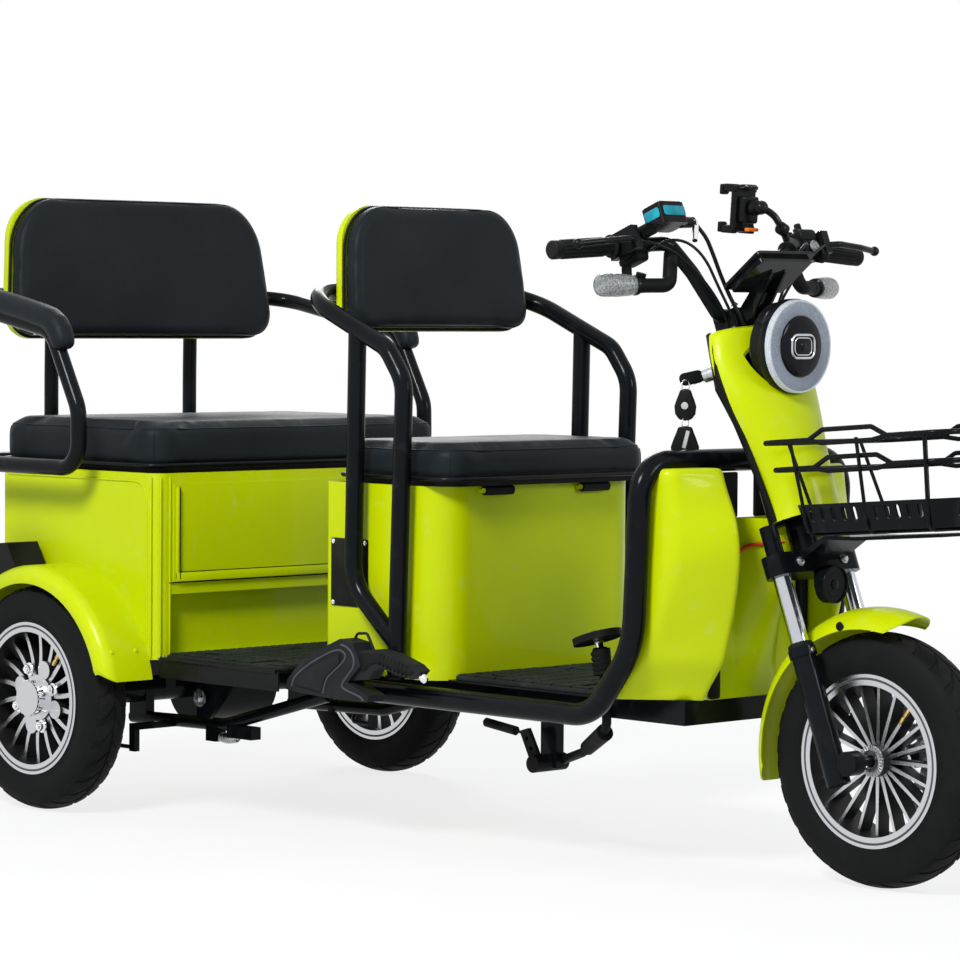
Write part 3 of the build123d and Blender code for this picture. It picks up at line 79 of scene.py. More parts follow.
AXLE_Z = 0.208
REAR_X = -0.784
FRONT_X = 0.870
DRIVER_X = -0.184
HOOP_X = 0.561
REAR_TRACK = 0.860
RAKE = math.radians(21.2)
STEERING = Matrix.Translation((FRONT_X - 0.039, 0, AXLE_Z)) @ Matrix.Rotation(-RAKE, 4, "Y")
BASKET = Matrix.Translation((FRONT_X + 0.089, 0, 0.588)) @ Matrix.Rotation(math.radians(-4.5), 4, "Y")
ALONG_Y = Matrix.Rotation(math.radians(90), 4, "X")
ALONG_X = Matrix.Rotation(math.radians(90), 4, "Y")


class Body(str, Enum):
    """The bodies of the model."""

    CHASSIS = "chassis"
    STEERING = "steering"
    FRONT_WHEEL = "front_wheel"
    REAR_RIGHT = "rear_wheel_right"
    REAR_LEFT = "rear_wheel_left"
    DRIVER_SEAT = "driver_seat"
    REAR_SEAT = "rear_seat"


class Slot(str, Enum):
    """The record's material slots."""

    TYRE = "tyre_rubber"
    RIM = "rim_silver"
    LIME = "lime_paint"
    VINYL = "black_vinyl"
    MAT = "mat_rubber"
    GRIP = "grip_rubber"
    STEEL = "disc_steel"
    LAMP = "lamp_plastic"
    PLASTIC = "black_plastic"
    ENAMEL = "black_frame_paint"


def steer(x: float, y: float, z: float) -> Vector:
    """A point given about the steering axis, in metres, in the row frame."""
    return STEERING @ Vector((x, y, z))


# ---------------------------------------------------------------- shader values
class Value:
    """A shader socket that Python's arithmetic turns into Math nodes."""

    def __init__(self, net: "Net", socket: bpy.types.NodeSocket) -> None:
        """Keeps the socket and the net it belongs to."""
        self.net = net
        self.socket = socket

    def __add__(self, other: "Operand") -> "Value":
        """Sum of two values."""
        return self.net.math("ADD", self, other)

    def __radd__(self, other: "Operand") -> "Value":
        """Sum with the number first."""
        return self.net.math("ADD", other, self)

    def __sub__(self, other: "Operand") -> "Value":
        """Difference of two values."""
        return self.net.math("SUBTRACT", self, other)

    def __rsub__(self, other: "Operand") -> "Value":
        """Difference with the number first."""
        return self.net.math("SUBTRACT", other, self)

    def __mul__(self, other: "Operand") -> "Value":
        """Product of two values."""
        return self.net.math("MULTIPLY", self, other)

    def __rmul__(self, other: "Operand") -> "Value":
        """Product with the number first."""
        return self.net.math("MULTIPLY", other, self)

    def __truediv__(self, other: "Operand") -> "Value":
        """Quotient of two values."""
        return self.net.math("DIVIDE", self, other)

    def __pow__(self, other: "Operand") -> "Value":
        """The value raised to a power."""
        return self.net.math("POWER", self, other)


Operand = Value | float


class Net:
    """The node network of one material."""

    def __init__(self, name: str) -> None:
        """Starts an empty network in a new material."""
        self.material = bpy.data.materials.new(name)
        self.material.use_nodes = True
        self.tree = self.material.node_tree
        self.tree.nodes.clear()

    def node(
        self,
        kind: str,
        settings: Mapping[str, Any] | None = None,
        sockets: Mapping[str | int, Any] | None = None,
        output: str | int = 0,
    ) -> Value:
        """Adds one node of any type.

        Args:
            kind: Type of the node, such as "ShaderNodeTexNoise".
            settings: Properties set first; "stops" fills a ramp with (place, colour) pairs.
            sockets: Values or links of its inputs, by name or place.
            output: The output to return, by name or place.

        Returns:
            The chosen output.
        """
        made = self.tree.nodes.new(kind)
        for key, setting in (settings or {}).items():
            if key == "stops":
                elements = made.color_ramp.elements
                while len(elements) < len(setting):
                    elements.new(1.0)
                for element, (place, colour) in zip(elements, setting):
                    element.position = place
                    element.color = (*colour, 1.0)
            else:
                setattr(made, key, setting)
        for key, given in (sockets or {}).items():
            socket = made.inputs[key]
            if isinstance(given, Value):
                self.tree.links.new(given.socket, socket)
            elif socket.type == "RGBA" and len(given) == 3:
                socket.default_value = (*given, 1.0)
            else:
                socket.default_value = given
        return Value(self, made.outputs[output] if made.outputs else None)

    def math(self, operation: str, *values: Operand) -> Value:
        """One Math node on up to three values."""
        return self.node("ShaderNodeMath", {"operation": operation}, dict(enumerate(values)))

    def point(self, offset: Point = (0, 0, 0), scale: Point = (1, 1, 1)) -> Value:
        """Object coordinates, moved and scaled."""
        place = self.node("ShaderNodeTexCoord", output="Object")
        return self.node(
            "ShaderNodeMapping",
            sockets={"Vector": place, "Location": offset, "Scale": scale},
        )

    def parts(self, vector: Value) -> tuple[Value, Value, Value]:
        """The X, Y and Z of a vector."""
        split = self.node("ShaderNodeSeparateXYZ", sockets={0: vector})
        outputs = split.socket.node.outputs
        return tuple(Value(self, outputs[axis]) for axis in "XYZ")

    def noise(self, point: Value, scale: float, detail: float = 3.0, rough: float = 0.5) -> Value:
        """Noise of a size per metre, from 0 to 1."""
        return self.node(
            "ShaderNodeTexNoise",
            sockets={"Vector": point, "Scale": scale, "Detail": detail, "Roughness": rough},
        )

    def cells(self, point: Value, scale: float, feature: str = "F1") -> Value:
        """Distance in a field of random cells."""
        return self.node(
            "ShaderNodeTexVoronoi",
            {"feature": feature},
            {"Vector": point, "Scale": scale},
            "Distance",
        )

    def band(self, value: Value, low: float, high: float, to: tuple[float, float] = (0, 1)) -> Value:
        """The value eased from one range to another and held at its ends."""
        return self.node(
            "ShaderNodeMapRange",
            {"interpolation_type": "SMOOTHSTEP"},
            {"Value": value, "From Min": low, "From Max": high, "To Min": to[0], "To Max": to[1]},
        )

    def ramp(self, value: Value, *stops: tuple[float, Point]) -> Value:
        """A colour ramp with the given stops."""
        return self.node("ShaderNodeValToRGB", {"stops": stops}, {0: value})

    def mix(self, share: Operand, first: Any, second: Any) -> Value:
        """A mix of two colours."""
        return self.node(
            "ShaderNodeMix", {"data_type": "RGBA"}, {0: share, 6: first, 7: second}, 2
        )

    def bump(self, height: Value, distance: float, strength: float = 1.0,
            under: Value | None = None) -> Value:
        """A bump of a real depth in metres, over an earlier one if given."""
        sockets: dict[str | int, Any] = {
            "Height": height, "Distance": distance, "Strength": strength,
        }
        if under is not None:
            sockets["Normal"] = under
        return self.node("ShaderNodeBump", sockets=sockets)

    def surface(self, **sockets: Any) -> bpy.types.Material:
        """Ends the network in a Principled shader.

        Args:
            sockets: Values or links, named as the shader's own with _ for a space.

        Returns:
            The finished material.
        """
        named = {key.replace("_", " "): given for key, given in sockets.items()}
        shader = self.node("ShaderNodeBsdfPrincipled", sockets=named)
        return self.end(shader)

    def end(self, shader: Value) -> bpy.types.Material:
        """Links a shader to the material's output."""
        self.node("ShaderNodeOutputMaterial", sockets={"Surface": shader})
        return self.material


# ---------------------------------------------------------------- finishes
@dataclass(frozen=True)
class Paint:
    """Sprayed gloss paint under a clear coat, with a faint orange peel."""

    name: str
    colour: Point
    roughness: float = 0.34
    coat: float = 0.12
    peel: float = 0.00006
    dust: float = 0.05
    gloss: float = 0.10

    def material(self) -> bpy.types.Material:
        """Builds the paint."""
        net = Net(self.name)
        place = net.point()
        shade = net.noise(place, 2.2, 2.0)
        fine = net.noise(place, 34.0, 4.0)
        deep = tuple(channel * 0.93 for channel in self.colour)
        pale = tuple(min(1.0, channel * 1.03 + 0.002) for channel in self.colour)
        base = net.mix(net.band(shade, 0.35, 0.65), deep, pale)
        dusty = net.mix(net.band(fine, 0.55, 0.8) * self.dust, base, (0.62, 0.6, 0.55))
        height = net.noise(place, 420.0, 1.0)
        return net.surface(
            Base_Color=dusty,
            Roughness=net.band(fine, 0.3, 0.75, (self.roughness * 0.85, self.roughness * 1.25)),
            Coat_Weight=net.band(fine, 0.25, 0.8, (self.coat, self.coat * 0.85)),
            Coat_Roughness=0.045,
            Specular_IOR_Level=self.gloss,
            Normal=net.bump(height, self.peel),
        )


@dataclass(frozen=True)
class Moulded:
    """Moulded plastic with a fine sparkle of texture and rubbed patches."""

    name: str
    colour: Point
    roughness: float = 0.48
    grain: float = 1600.0
    depth: float = 0.00009
    coat: float = 0.0

    def material(self) -> bpy.types.Material:
        """Builds the plastic."""
        net = Net(self.name)
        place = net.point()
        rubbed = net.noise(place, 14.0, 5.0, 0.6)
        light = tuple(channel * 1.5 + 0.006 for channel in self.colour)
        return net.surface(
            Base_Color=net.mix(net.band(rubbed, 0.45, 0.75) * 0.5, self.colour, light),
            Roughness=net.band(rubbed, 0.35, 0.7, (self.roughness * 1.12, self.roughness * 0.82)),
            Coat_Weight=self.coat,
            Coat_Roughness=0.08,
            Specular_IOR_Level=0.06,
            Normal=net.bump(net.noise(place, self.grain, 2.0), self.depth),
        )


@dataclass(frozen=True)
class Vinyl:
    """Leather-grained vinyl, a little polished where it is sat on."""

    name: str
    colour: Point = (0.0072, 0.0098, 0.0122)
    pebble: float = 620.0

    def material(self) -> bpy.types.Material:
        """Builds the vinyl."""
        net = Net(self.name)
        place = net.point()
        warp = net.noise(place, 130.0, 2.0)
        pebbles = net.cells(place, self.pebble, "SMOOTH_F1")
        creases = net.cells(place, self.pebble * 0.42, "DISTANCE_TO_EDGE")
        wear = net.noise(place, 5.5, 4.0, 0.55)
        height = pebbles * 0.6 + net.band(creases, 0.0, 0.09) * 0.5 + warp * 0.3
        colour = net.ramp(
            wear, (0.3, self.colour), (0.7, tuple(channel * 1.45 for channel in self.colour))
        )
        return net.surface(
            # The grain's creases are darkened towards near-black: painted shade in the recesses of the grain.
            Base_Color=net.mix(net.band(creases, 0.0, 0.07, (0.45, 0.0)), colour, (0.006, 0.006, 0.006)),
            Roughness=net.band(wear, 0.3, 0.7, (0.46, 0.36)) + pebbles * 0.08,
            Specular_IOR_Level=0.09,
            Sheen_Weight=0.0,
            Sheen_Roughness=0.4,
            Normal=net.bump(height, 0.00028, 0.55),
        )


@dataclass(frozen=True)
class TyreRubber:
    """Tyre rubber with fine rings on its sidewall, turned about one wheel's axle."""

    name: str
    centre: Point
    colour: Point = (0.0080, 0.0082, 0.0086)

    def material(self) -> bpy.types.Material:
        """Builds the rubber."""
        net = Net(self.name)
        place = net.point()
        x, _, z = net.parts(net.point(tuple(-value for value in self.centre)))
        radius = net.math("SQRT", x * x + z * z)
        rings = net.math("SINE", radius * (2 * math.pi / 0.0016))
        wall = net.band(radius, 0.146, 0.150) * net.band(radius, 0.186, 0.190, (1, 0))
        scuff = net.noise(place, 26.0, 6.0, 0.65)
        tread = net.band(radius, 0.196, 0.203)
        dusty = net.band(scuff, 0.4, 0.8) * (tread * 0.35 + 0.12)
        grain = net.noise(place, 900.0, 3.0)
        return net.surface(
            Base_Color=net.mix(dusty, self.colour, (0.034, 0.033, 0.032)),
            Roughness=net.band(scuff, 0.3, 0.7, (0.52, 0.70)),
            Specular_IOR_Level=0.05,
            Normal=net.bump(grain * 0.6 + rings * wall * 0.35, 0.00022, 0.8),
        )


@dataclass(frozen=True)
class SheetRubber:
    """Plain moulded rubber, matt with a dry bloom."""

    name: str
    colour: Point = (0.0120, 0.0150, 0.0142)
    bloom: Point = (0.044, 0.052, 0.048)
    roughness: float = 0.62

    def material(self) -> bpy.types.Material:
        """Builds the rubber."""
        net = Net(self.name)
        place = net.point()
        bloom = net.noise(place, 9.0, 6.0, 0.62)
        grain = net.noise(place, 1300.0, 3.0)
        return net.surface(
            Base_Color=net.mix(net.band(bloom, 0.4, 0.8) * 0.55, self.colour, self.bloom),
            Roughness=net.band(bloom, 0.3, 0.75, (self.roughness * 0.9, self.roughness * 1.15)),
            Specular_IOR_Level=0.06,
            Normal=net.bump(grain, 0.00016),
        )


@dataclass(frozen=True)
class CastRim:
    """Cast alloy rim: faces turned bright, the rest painted black, about one wheel's axle."""

    name: str
    centre: Point
    bright: Point = (0.60, 0.61, 0.63)
    dark: Point = (0.006, 0.006, 0.0065)

    def material(self) -> bpy.types.Material:
        """Builds the two finishes in one material."""
        net = Net(self.name)
        place = net.point()
        x, _, z = net.parts(net.point(tuple(-value for value in self.centre)))
        radius = net.math("SQRT", x * x + z * z)
        normal = net.node("ShaderNodeTexCoord", output="Normal")
        _, facing, _ = net.parts(normal)
        facing = net.math("ABSOLUTE", facing)
        flange = net.band(radius, 0.1275, 0.1285)
        face = net.band(facing, 0.72, 0.88)
        silver = net.math("MAXIMUM", face, flange * net.band(facing, 0.12, 0.3))
        outer = net.band(radius, 0.1385, 0.1395)
        silver = net.math("MAXIMUM", silver, outer)
        groove = net.band(radius, 0.1313, 0.1319) * net.band(radius, 0.1352, 0.1358, (1, 0))
        silver = silver - groove * 0.92 * silver
        lathe = net.math("SINE", radius * (2 * math.pi / 0.0011))
        specks = net.noise(place, 60.0, 5.0, 0.6)
        return net.surface(
            Base_Color=net.mix(silver, self.dark, self.bright),
            Metallic=silver,
            Roughness=silver * -0.28 + 0.46 + specks * 0.12,
            Specular_IOR_Level=0.25,
            Normal=net.bump(lathe * silver + specks, 0.00004, 0.7),
        )


@dataclass(frozen=True)
class Metal:
    """Bare or plated metal, with faint marks."""

    name: str
    colour: Point = (0.78, 0.79, 0.80)
    roughness: float = 0.16
    marks: float = 0.5

    def material(self) -> bpy.types.Material:
        """Builds the metal."""
        net = Net(self.name)
        place = net.point()
        specks = net.noise(place, 90.0, 6.0, 0.65)
        brush = net.noise(net.point(scale=(900.0, 60.0, 900.0)), 1.0, 3.0)
        tarnish = tuple(channel * 0.72 for channel in self.colour)
        return net.surface(
            Base_Color=net.mix(net.band(specks, 0.45, 0.8) * self.marks, self.colour, tarnish),
            Metallic=1.0,
            Roughness=net.band(specks, 0.3, 0.75, (self.roughness * 0.75, self.roughness * 1.6)),
            Normal=net.bump(brush, 0.000025, 0.6),
        )


@dataclass(frozen=True)
class Lens:
    """Clear or tinted moulded lens, with prisms pressed into it."""

    name: str
    colour: Point = (0.86, 0.89, 0.93)
    clear: float = 0.35
    prism: float = 330.0
    depth: float = 0.0006
    roughness: float = 0.12
    glow: float = 0.0

    def material(self) -> bpy.types.Material:
        """Builds the lens."""
        net = Net(self.name)
        place = net.point()
        prisms = net.cells(place, self.prism)
        haze = net.noise(place, 40.0, 4.0)
        dull = tuple(channel * 0.55 for channel in self.colour)
        return net.surface(
            Base_Color=net.mix(net.band(prisms, 0.15, 0.75), self.colour, dull),
            Roughness=net.band(haze, 0.3, 0.7, (self.roughness * 0.8, self.roughness * 1.4)),
            Transmission_Weight=self.clear,
            IOR=1.49,
            Specular_IOR_Level=0.3,
            Coat_Weight=0.25,
            Emission_Color=self.colour,
            Emission_Strength=self.glow,
            Normal=net.bump(prisms, self.depth),
        )


@dataclass(frozen=True)
class DarkGlass:
    """Near-black glass with a soft smear of finger marks."""

    name: str
    colour: Point = (0.004, 0.0042, 0.006)
    tint: Point = (0.006, 0.005, 0.016)

    def material(self) -> bpy.types.Material:
        """Builds the glass."""
        net = Net(self.name)
        place = net.point()
        smear = net.noise(place, 22.0, 5.0, 0.6)
        return net.surface(
            Base_Color=net.mix(net.band(smear, 0.4, 0.7), self.colour, self.tint),
            Roughness=net.band(smear, 0.35, 0.75, (0.035, 0.11)),
            Specular_IOR_Level=0.07,
            Coat_Weight=0.10,
            Coat_Roughness=0.02,
            Normal=net.bump(smear, 0.00001),
        )


class Finishes:
    """Every finish of the tricycle, made once."""

    def __init__(self) -> None:
        """Makes the materials."""
        lime = (0.50, 0.60, 0.0)
        plain: Sequence[Any] = (
            Paint("lime_gloss", lime),
            Paint("black_enamel", (0.0036, 0.0048, 0.0062), 0.20, 0.06, 0.00008, 0.010, 0.055),
            Moulded("black_moulding", (0.0065, 0.0067, 0.0072)),
            Moulded("satin_moulding", (0.0050, 0.0052, 0.0057), 0.30, 1100.0, 0.00004, 0.10),
            Moulded("grey_moulding", (0.0150, 0.0162, 0.0175), 0.52, 1200.0, 0.00014),
            Moulded("pale_moulding", (0.062, 0.066, 0.072), 0.5, 1200.0, 0.0001),
            Moulded("orange_moulding", (0.72, 0.16, 0.015), 0.42),
            Moulded("blank_plate", (0.0075, 0.0075, 0.0082), 0.36, 700.0, 0.00003),
            Vinyl("seat_vinyl"),
            SheetRubber("mat_rubber_sheet"),
            SheetRubber("grip_rubber_soft", (0.0075, 0.0077, 0.0080), (0.018, 0.018, 0.0185), 0.50),
            Metal("chrome_plate", (0.86, 0.87, 0.89), 0.07, 0.15),
            Metal("zinc_plate", (0.52, 0.53, 0.54), 0.28, 0.8),
            Metal("polished_tube", (0.56, 0.58, 0.62), 0.12, 0.3),
            Paint("red_sleeve", (0.60, 0.022, 0.012), 0.38, 0.2),
            Metal("brushed_steel_disc", (0.60, 0.61, 0.62), 0.24, 0.6),
            Metal("grey_casting", (0.075, 0.078, 0.080), 0.44, 0.5),
            Metal("brass_fitting", (0.80, 0.56, 0.20), 0.26, 0.5),
            Metal("hinge_zinc", (0.74, 0.75, 0.76), 0.34, 0.4),
            Lens("frosted_ring", (0.44, 0.50, 0.60), 0.18, 900.0, 0.0007, 0.2, 0.08),
            Lens("clear_prisms", (0.46, 0.48, 0.50), 0.30, 230.0, 0.0014, 0.08, 0.02),
            Lens("red_prisms", (0.55, 0.010, 0.012), 0.25, 300.0, 0.0006, 0.12),
            Lens("projector_glass", (0.80, 0.84, 0.90), 0.45, 700.0, 0.0002, 0.05, 0.18),
            DarkGlass("dark_lens"),
            DarkGlass("screen_glass", (0.006, 0.0065, 0.0068), (0.012, 0.0125, 0.013)),
            DarkGlass("blue_mirror", (0.010, 0.16, 0.24), (0.02, 0.34, 0.42)),
        )
        self.by_name = {finish.name: finish.material() for finish in plain}

    def __getitem__(self, name: str) -> bpy.types.Material:
        """The material of that name."""
        return self.by_name[name]

    def add(self, finish: Any) -> bpy.types.Material:
        """Makes and keeps one more finish."""
        self.by_name[finish.name] = finish.material()
        return self.by_name[finish.name]


# ---------------------------------------------------------------- modelling steps
def deselect() -> None:
    """Leaves edit mode and selects nothing."""
    if bpy.context.object and bpy.context.object.mode != "OBJECT":
        bpy.ops.object.mode_set(mode="OBJECT")
    bpy.ops.object.select_all(action="DESELECT")


def choose(*objects: bpy.types.Object) -> None:
    """Selects these objects and no others, the first of them active."""
    deselect()
    for each in objects:
        each.select_set(True)
    bpy.context.view_layer.objects.active = objects[0]


@contextmanager
def editing(piece: bpy.types.Object, mode: str = "FACE",
        everything: bool = False) -> Iterator[bpy.types.Object]:
    """Edit mode on one piece, with all of it selected or none."""
    choose(piece)
    bpy.ops.object.mode_set(mode="EDIT")
    bpy.ops.mesh.select_mode(type=mode)
    bpy.ops.mesh.select_all(action="SELECT" if everything else "DESELECT")
    yield piece
    bpy.ops.object.mode_set(mode="OBJECT")


def modify(piece: bpy.types.Object, kind: str, **settings: Any) -> None:
    """Adds one modifier and applies it."""
    choose(piece)
    modifier = piece.modifiers.new(kind.lower(), kind)
    for key, value in settings.items():
        setattr(modifier, key, value)
    bpy.ops.object.modifier_apply(modifier=modifier.name)


def bevel(piece: bpy.types.Object, width: float, segments: int = 2, angle: float = 35.0) -> None:
    """Rounds the sharp edges of a piece."""
    modify(
        piece, "BEVEL", width=width, segments=segments, limit_method="ANGLE",
        angle_limit=math.radians(angle), harden_normals=False,
    )


def lathe(stations: Sequence[tuple[float, float]], sides: int = 48, ring: bool = False) -> bpy.types.Object:
    """Turns a profile about Z, by extruding and scaling a circle from station to station.

    Args:
        stations: Radius and height of each station; a radius of 0 closes the piece to a point.
        sides: Sides round the circle.
        ring: True if the last station returns to the first.

    Returns:
        The turned piece.
    """
    deselect()
    radius, height = stations[0]
    start = max(radius, 1e-4)
    bpy.ops.mesh.primitive_circle_add(vertices=sides, radius=start, fill_type="NOTHING",
        location=(0, 0, height))
    piece = bpy.context.object
    with editing(piece, "EDGE", True):
        if not ring and radius > 0:
            bpy.ops.mesh.edge_face_add()
        for next_radius, next_height in stations[1:]:
            bpy.ops.mesh.extrude_region_move(
                TRANSFORM_OT_translate={"value": (0, 0, next_height - height)}
            )
            share = max(next_radius, 1e-4) / start
            bpy.ops.transform.resize(value=(share, share, 1), center_override=(0, 0, next_height))
            start, height = max(next_radius, 1e-4), next_height
        if not ring and stations[-1][0] > 0:
            bpy.ops.mesh.edge_face_add()
        bpy.ops.mesh.select_all(action="SELECT")
        bpy.ops.mesh.remove_doubles(threshold=1.5e-4 if stations[0][0] == 0 or stations[-1][0] == 0 else 1e-5)
        bpy.ops.mesh.normals_make_consistent(inside=False)
    return piece


def slab(outline: Sequence[tuple[float, float]], thickness: float, edge: float = 0.0,
        segments: int = 2) -> bpy.types.Object:
    """A plate with that outline in X and Y, standing up from Z 0, with its edges rounded."""
    deselect()
    bpy.ops.mesh.primitive_circle_add(vertices=len(outline), radius=1, fill_type="NGON")
    piece = bpy.context.object
    for vertex, (x, y) in zip(piece.data.vertices, outline):
        vertex.co = (x, y, 0)
    with editing(piece, "FACE", True):
        bpy.ops.mesh.extrude_region_move(TRANSFORM_OT_translate={"value": (0, 0, thickness)})
        bpy.ops.mesh.select_all(action="SELECT")
        bpy.ops.mesh.normals_make_consistent(inside=False)
    if edge:
        bevel(piece, edge, segments)
    return piece


def brick(size: Point, edge: float, segments: int = 2) -> bpy.types.Object:
    """A block about the origin with rounded edges."""
    deselect()
    bpy.ops.mesh.primitive_cube_add(size=1, scale=size)
    piece = bpy.context.object
    bpy.ops.object.transform_apply(location=True, rotation=True, scale=True)
    bevel(piece, edge, segments)
    return piece


def round_rectangle(width: float, height: float, corner: float, steps: int = 5) -> list[tuple[float, float]]:
    """Outline of a rectangle with round corners, about the origin."""
    points = []
    for turn, (across, up) in enumerate(((1, 1), (-1, 1), (-1, -1), (1, -1))):
        for step in range(steps + 1):
            angle = math.pi / 2 * (turn + step / steps)
            points.append((
                across * (width / 2 - corner) + corner * math.cos(angle),
                up * (height / 2 - corner) + corner * math.sin(angle),
            ))
    return points


def rod(points: Sequence[Sequence[float]], radius: float, order: int = 3, sides: int = 3,
        loop: bool = False) -> bpy.types.Object:
    """A round bar along a smooth line near the points, closed at its ends."""
    deselect()
    bpy.ops.curve.primitive_nurbs_path_add()
    piece = bpy.context.object
    curve = piece.data
    curve.splines.clear()
    spline = curve.splines.new("NURBS")
    spline.points.add(len(points) - 1)
    for target, point in zip(spline.points, points):
        target.co = (*point, 1.0)
    spline.use_cyclic_u = loop
    spline.use_endpoint_u = not loop
    spline.order_u = order
    spline.resolution_u = 6
    curve.dimensions = "3D"
    curve.bevel_depth = radius
    curve.bevel_resolution = sides
    curve.use_fill_caps = True
    bpy.ops.object.convert(target="MESH")
    return bpy.context.object


def place(piece: bpy.types.Object, *moves: Matrix) -> bpy.types.Object:
    """Moves a piece's mesh, the last move first, and leaves its object at the origin."""
    total = Matrix.Identity(4)
    for move in moves:
        total = total @ move
    piece.data.transform(total @ piece.matrix_world)
    piece.matrix_world = Matrix.Identity(4)
    if total.determinant() < 0:
        piece.data.flip_normals()
    return piece


def at(x: float, y: float, z: float) -> Matrix:
    """A move to a point."""
    return Matrix.Translation((x, y, z))


def spun(degrees: float, axis: str) -> Matrix:
    """A turn about an axis through the origin."""
    return Matrix.Rotation(math.radians(degrees), 4, axis)


def aimed(direction: Vector) -> Matrix:
    """The turn that brings +Z round to a direction."""
    return Vector((0, 0, 1)).rotation_difference(direction).to_matrix().to_4x4()


def copies(piece: bpy.types.Object, moves: Sequence[Matrix]) -> bpy.types.Object:
    """Copies a piece once for each move, joined into one piece; the first one is used up."""
    made = []
    for move in moves:
        twin = piece.copy()
        twin.data = piece.data.copy()
        bpy.context.scene.collection.objects.link(twin)
        place(twin, move)
        made.append(twin)
    bpy.data.objects.remove(piece)
    return merged(made)


def merged(pieces: Sequence[bpy.types.Object]) -> bpy.types.Object:
    """Joins pieces into one."""
    choose(*pieces)
    if len(pieces) > 1:
        bpy.ops.object.join()
    return bpy.context.view_layer.objects.active


def settle(
    piece: bpy.types.Object,
    name: str,
    body: Body,
    slot: Slot,
    material: bpy.types.Material,
    smooth: float = 35.0,
) -> bpy.types.Object:
    """Finishes a piece: name, shading, material and body."""
    piece.name = name
    piece.data.name = name
    place(piece)
    choose(piece)
    bpy.ops.object.shade_smooth_by_angle(angle=math.radians(smooth))
    piece.data.materials.clear()
    piece.data.materials.append(material)
    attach(piece, body.value)
    LOG.info("%s: %d faces on %s", name, len(piece.data.polygons), body.value)
    return piece


def bolt(radius: float, head: float, washer: float = 0.0) -> bpy.types.Object:
    """A hexagon bolt head standing up from Z 0, on a washer, with a socketed crown."""
    parts = [slab([
        (radius * math.cos(math.pi / 3 * turn), radius * math.sin(math.pi / 3 * turn)) for turn in range(6)
    ], head, radius * 0.12)]
    if washer:
        parts.append(lathe([(washer, 0), (washer, radius * 0.22), (radius * 0.7, radius * 0.24)], 24))
    parts.append(lathe([(radius * 0.62, head * 0.9), (radius * 0.56, head * 1.1),
        (radius * 0.3, head * 1.12)], 18))
    return merged(parts)


def arc(start: Sequence[float], middle: Sequence[float], end: Sequence[float],
        steps: int) -> list[tuple[float, float]]:
    """Points on the circle through three points, from the first to the last.

    Args:
        start: First point.
        middle: A point between them.
        end: Last point.
        steps: How many runs the arc is cut into.

    Returns:
        The points, both ends included.
    """
    (ax, ay), (bx, by), (cx, cy) = start, middle, end
    d = 2 * (ax * (by - cy) + bx * (cy - ay) + cx * (ay - by))
    a2, b2, c2 = ax * ax + ay * ay, bx * bx + by * by, cx * cx + cy * cy
    ux = (a2 * (by - cy) + b2 * (cy - ay) + c2 * (ay - by)) / d
    uy = (a2 * (cx - bx) + b2 * (ax - cx) + c2 * (bx - ax)) / d
    radius = math.hypot(ax - ux, ay - uy)
    first, mid, last = (math.atan2(y - uy, x - ux) for x, y in (start, middle, end))
    turn = (last - first) % (2 * math.pi)
    if (mid - first) % (2 * math.pi) > turn:
        turn -= 2 * math.pi
    return [
        (ux + radius * math.cos(first + turn * step / steps),
            uy + radius * math.sin(first + turn * step / steps))
        for step in range(steps + 1)
    ]


@dataclass
class Assembly:
    """What every sub-assembly shares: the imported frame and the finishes."""

    frame: Mapping[str, Any]
    finishes: Finishes

    def paint(self, finish: str, *nodes: str) -> None:
        """Gives the named finish to CAD nodes."""
        for name in nodes:
            node = self.frame["nodes"][name]
            material = self.finishes[finish]
            if not node.material_slots:
                node.data.materials.append(material)
            for slot in node.material_slots:
                slot.material = material

    def add(
        self, piece: bpy.types.Object, name: str, body: Body, slot: Slot, finish: str,
        smooth: float = 35.0, stands_for: Sequence[str] = (),
    ) -> bpy.types.Object:
        """Settles a piece in one of the finishes, standing for CAD nodes if any are named."""
        settle(piece, name, body, slot, self.finishes[finish], smooth)
        if stands_for:
            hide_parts(*stands_for)
        return piece

    def build(self) -> None:
        """Builds and dresses the sub-assembly."""
        raise NotImplementedError


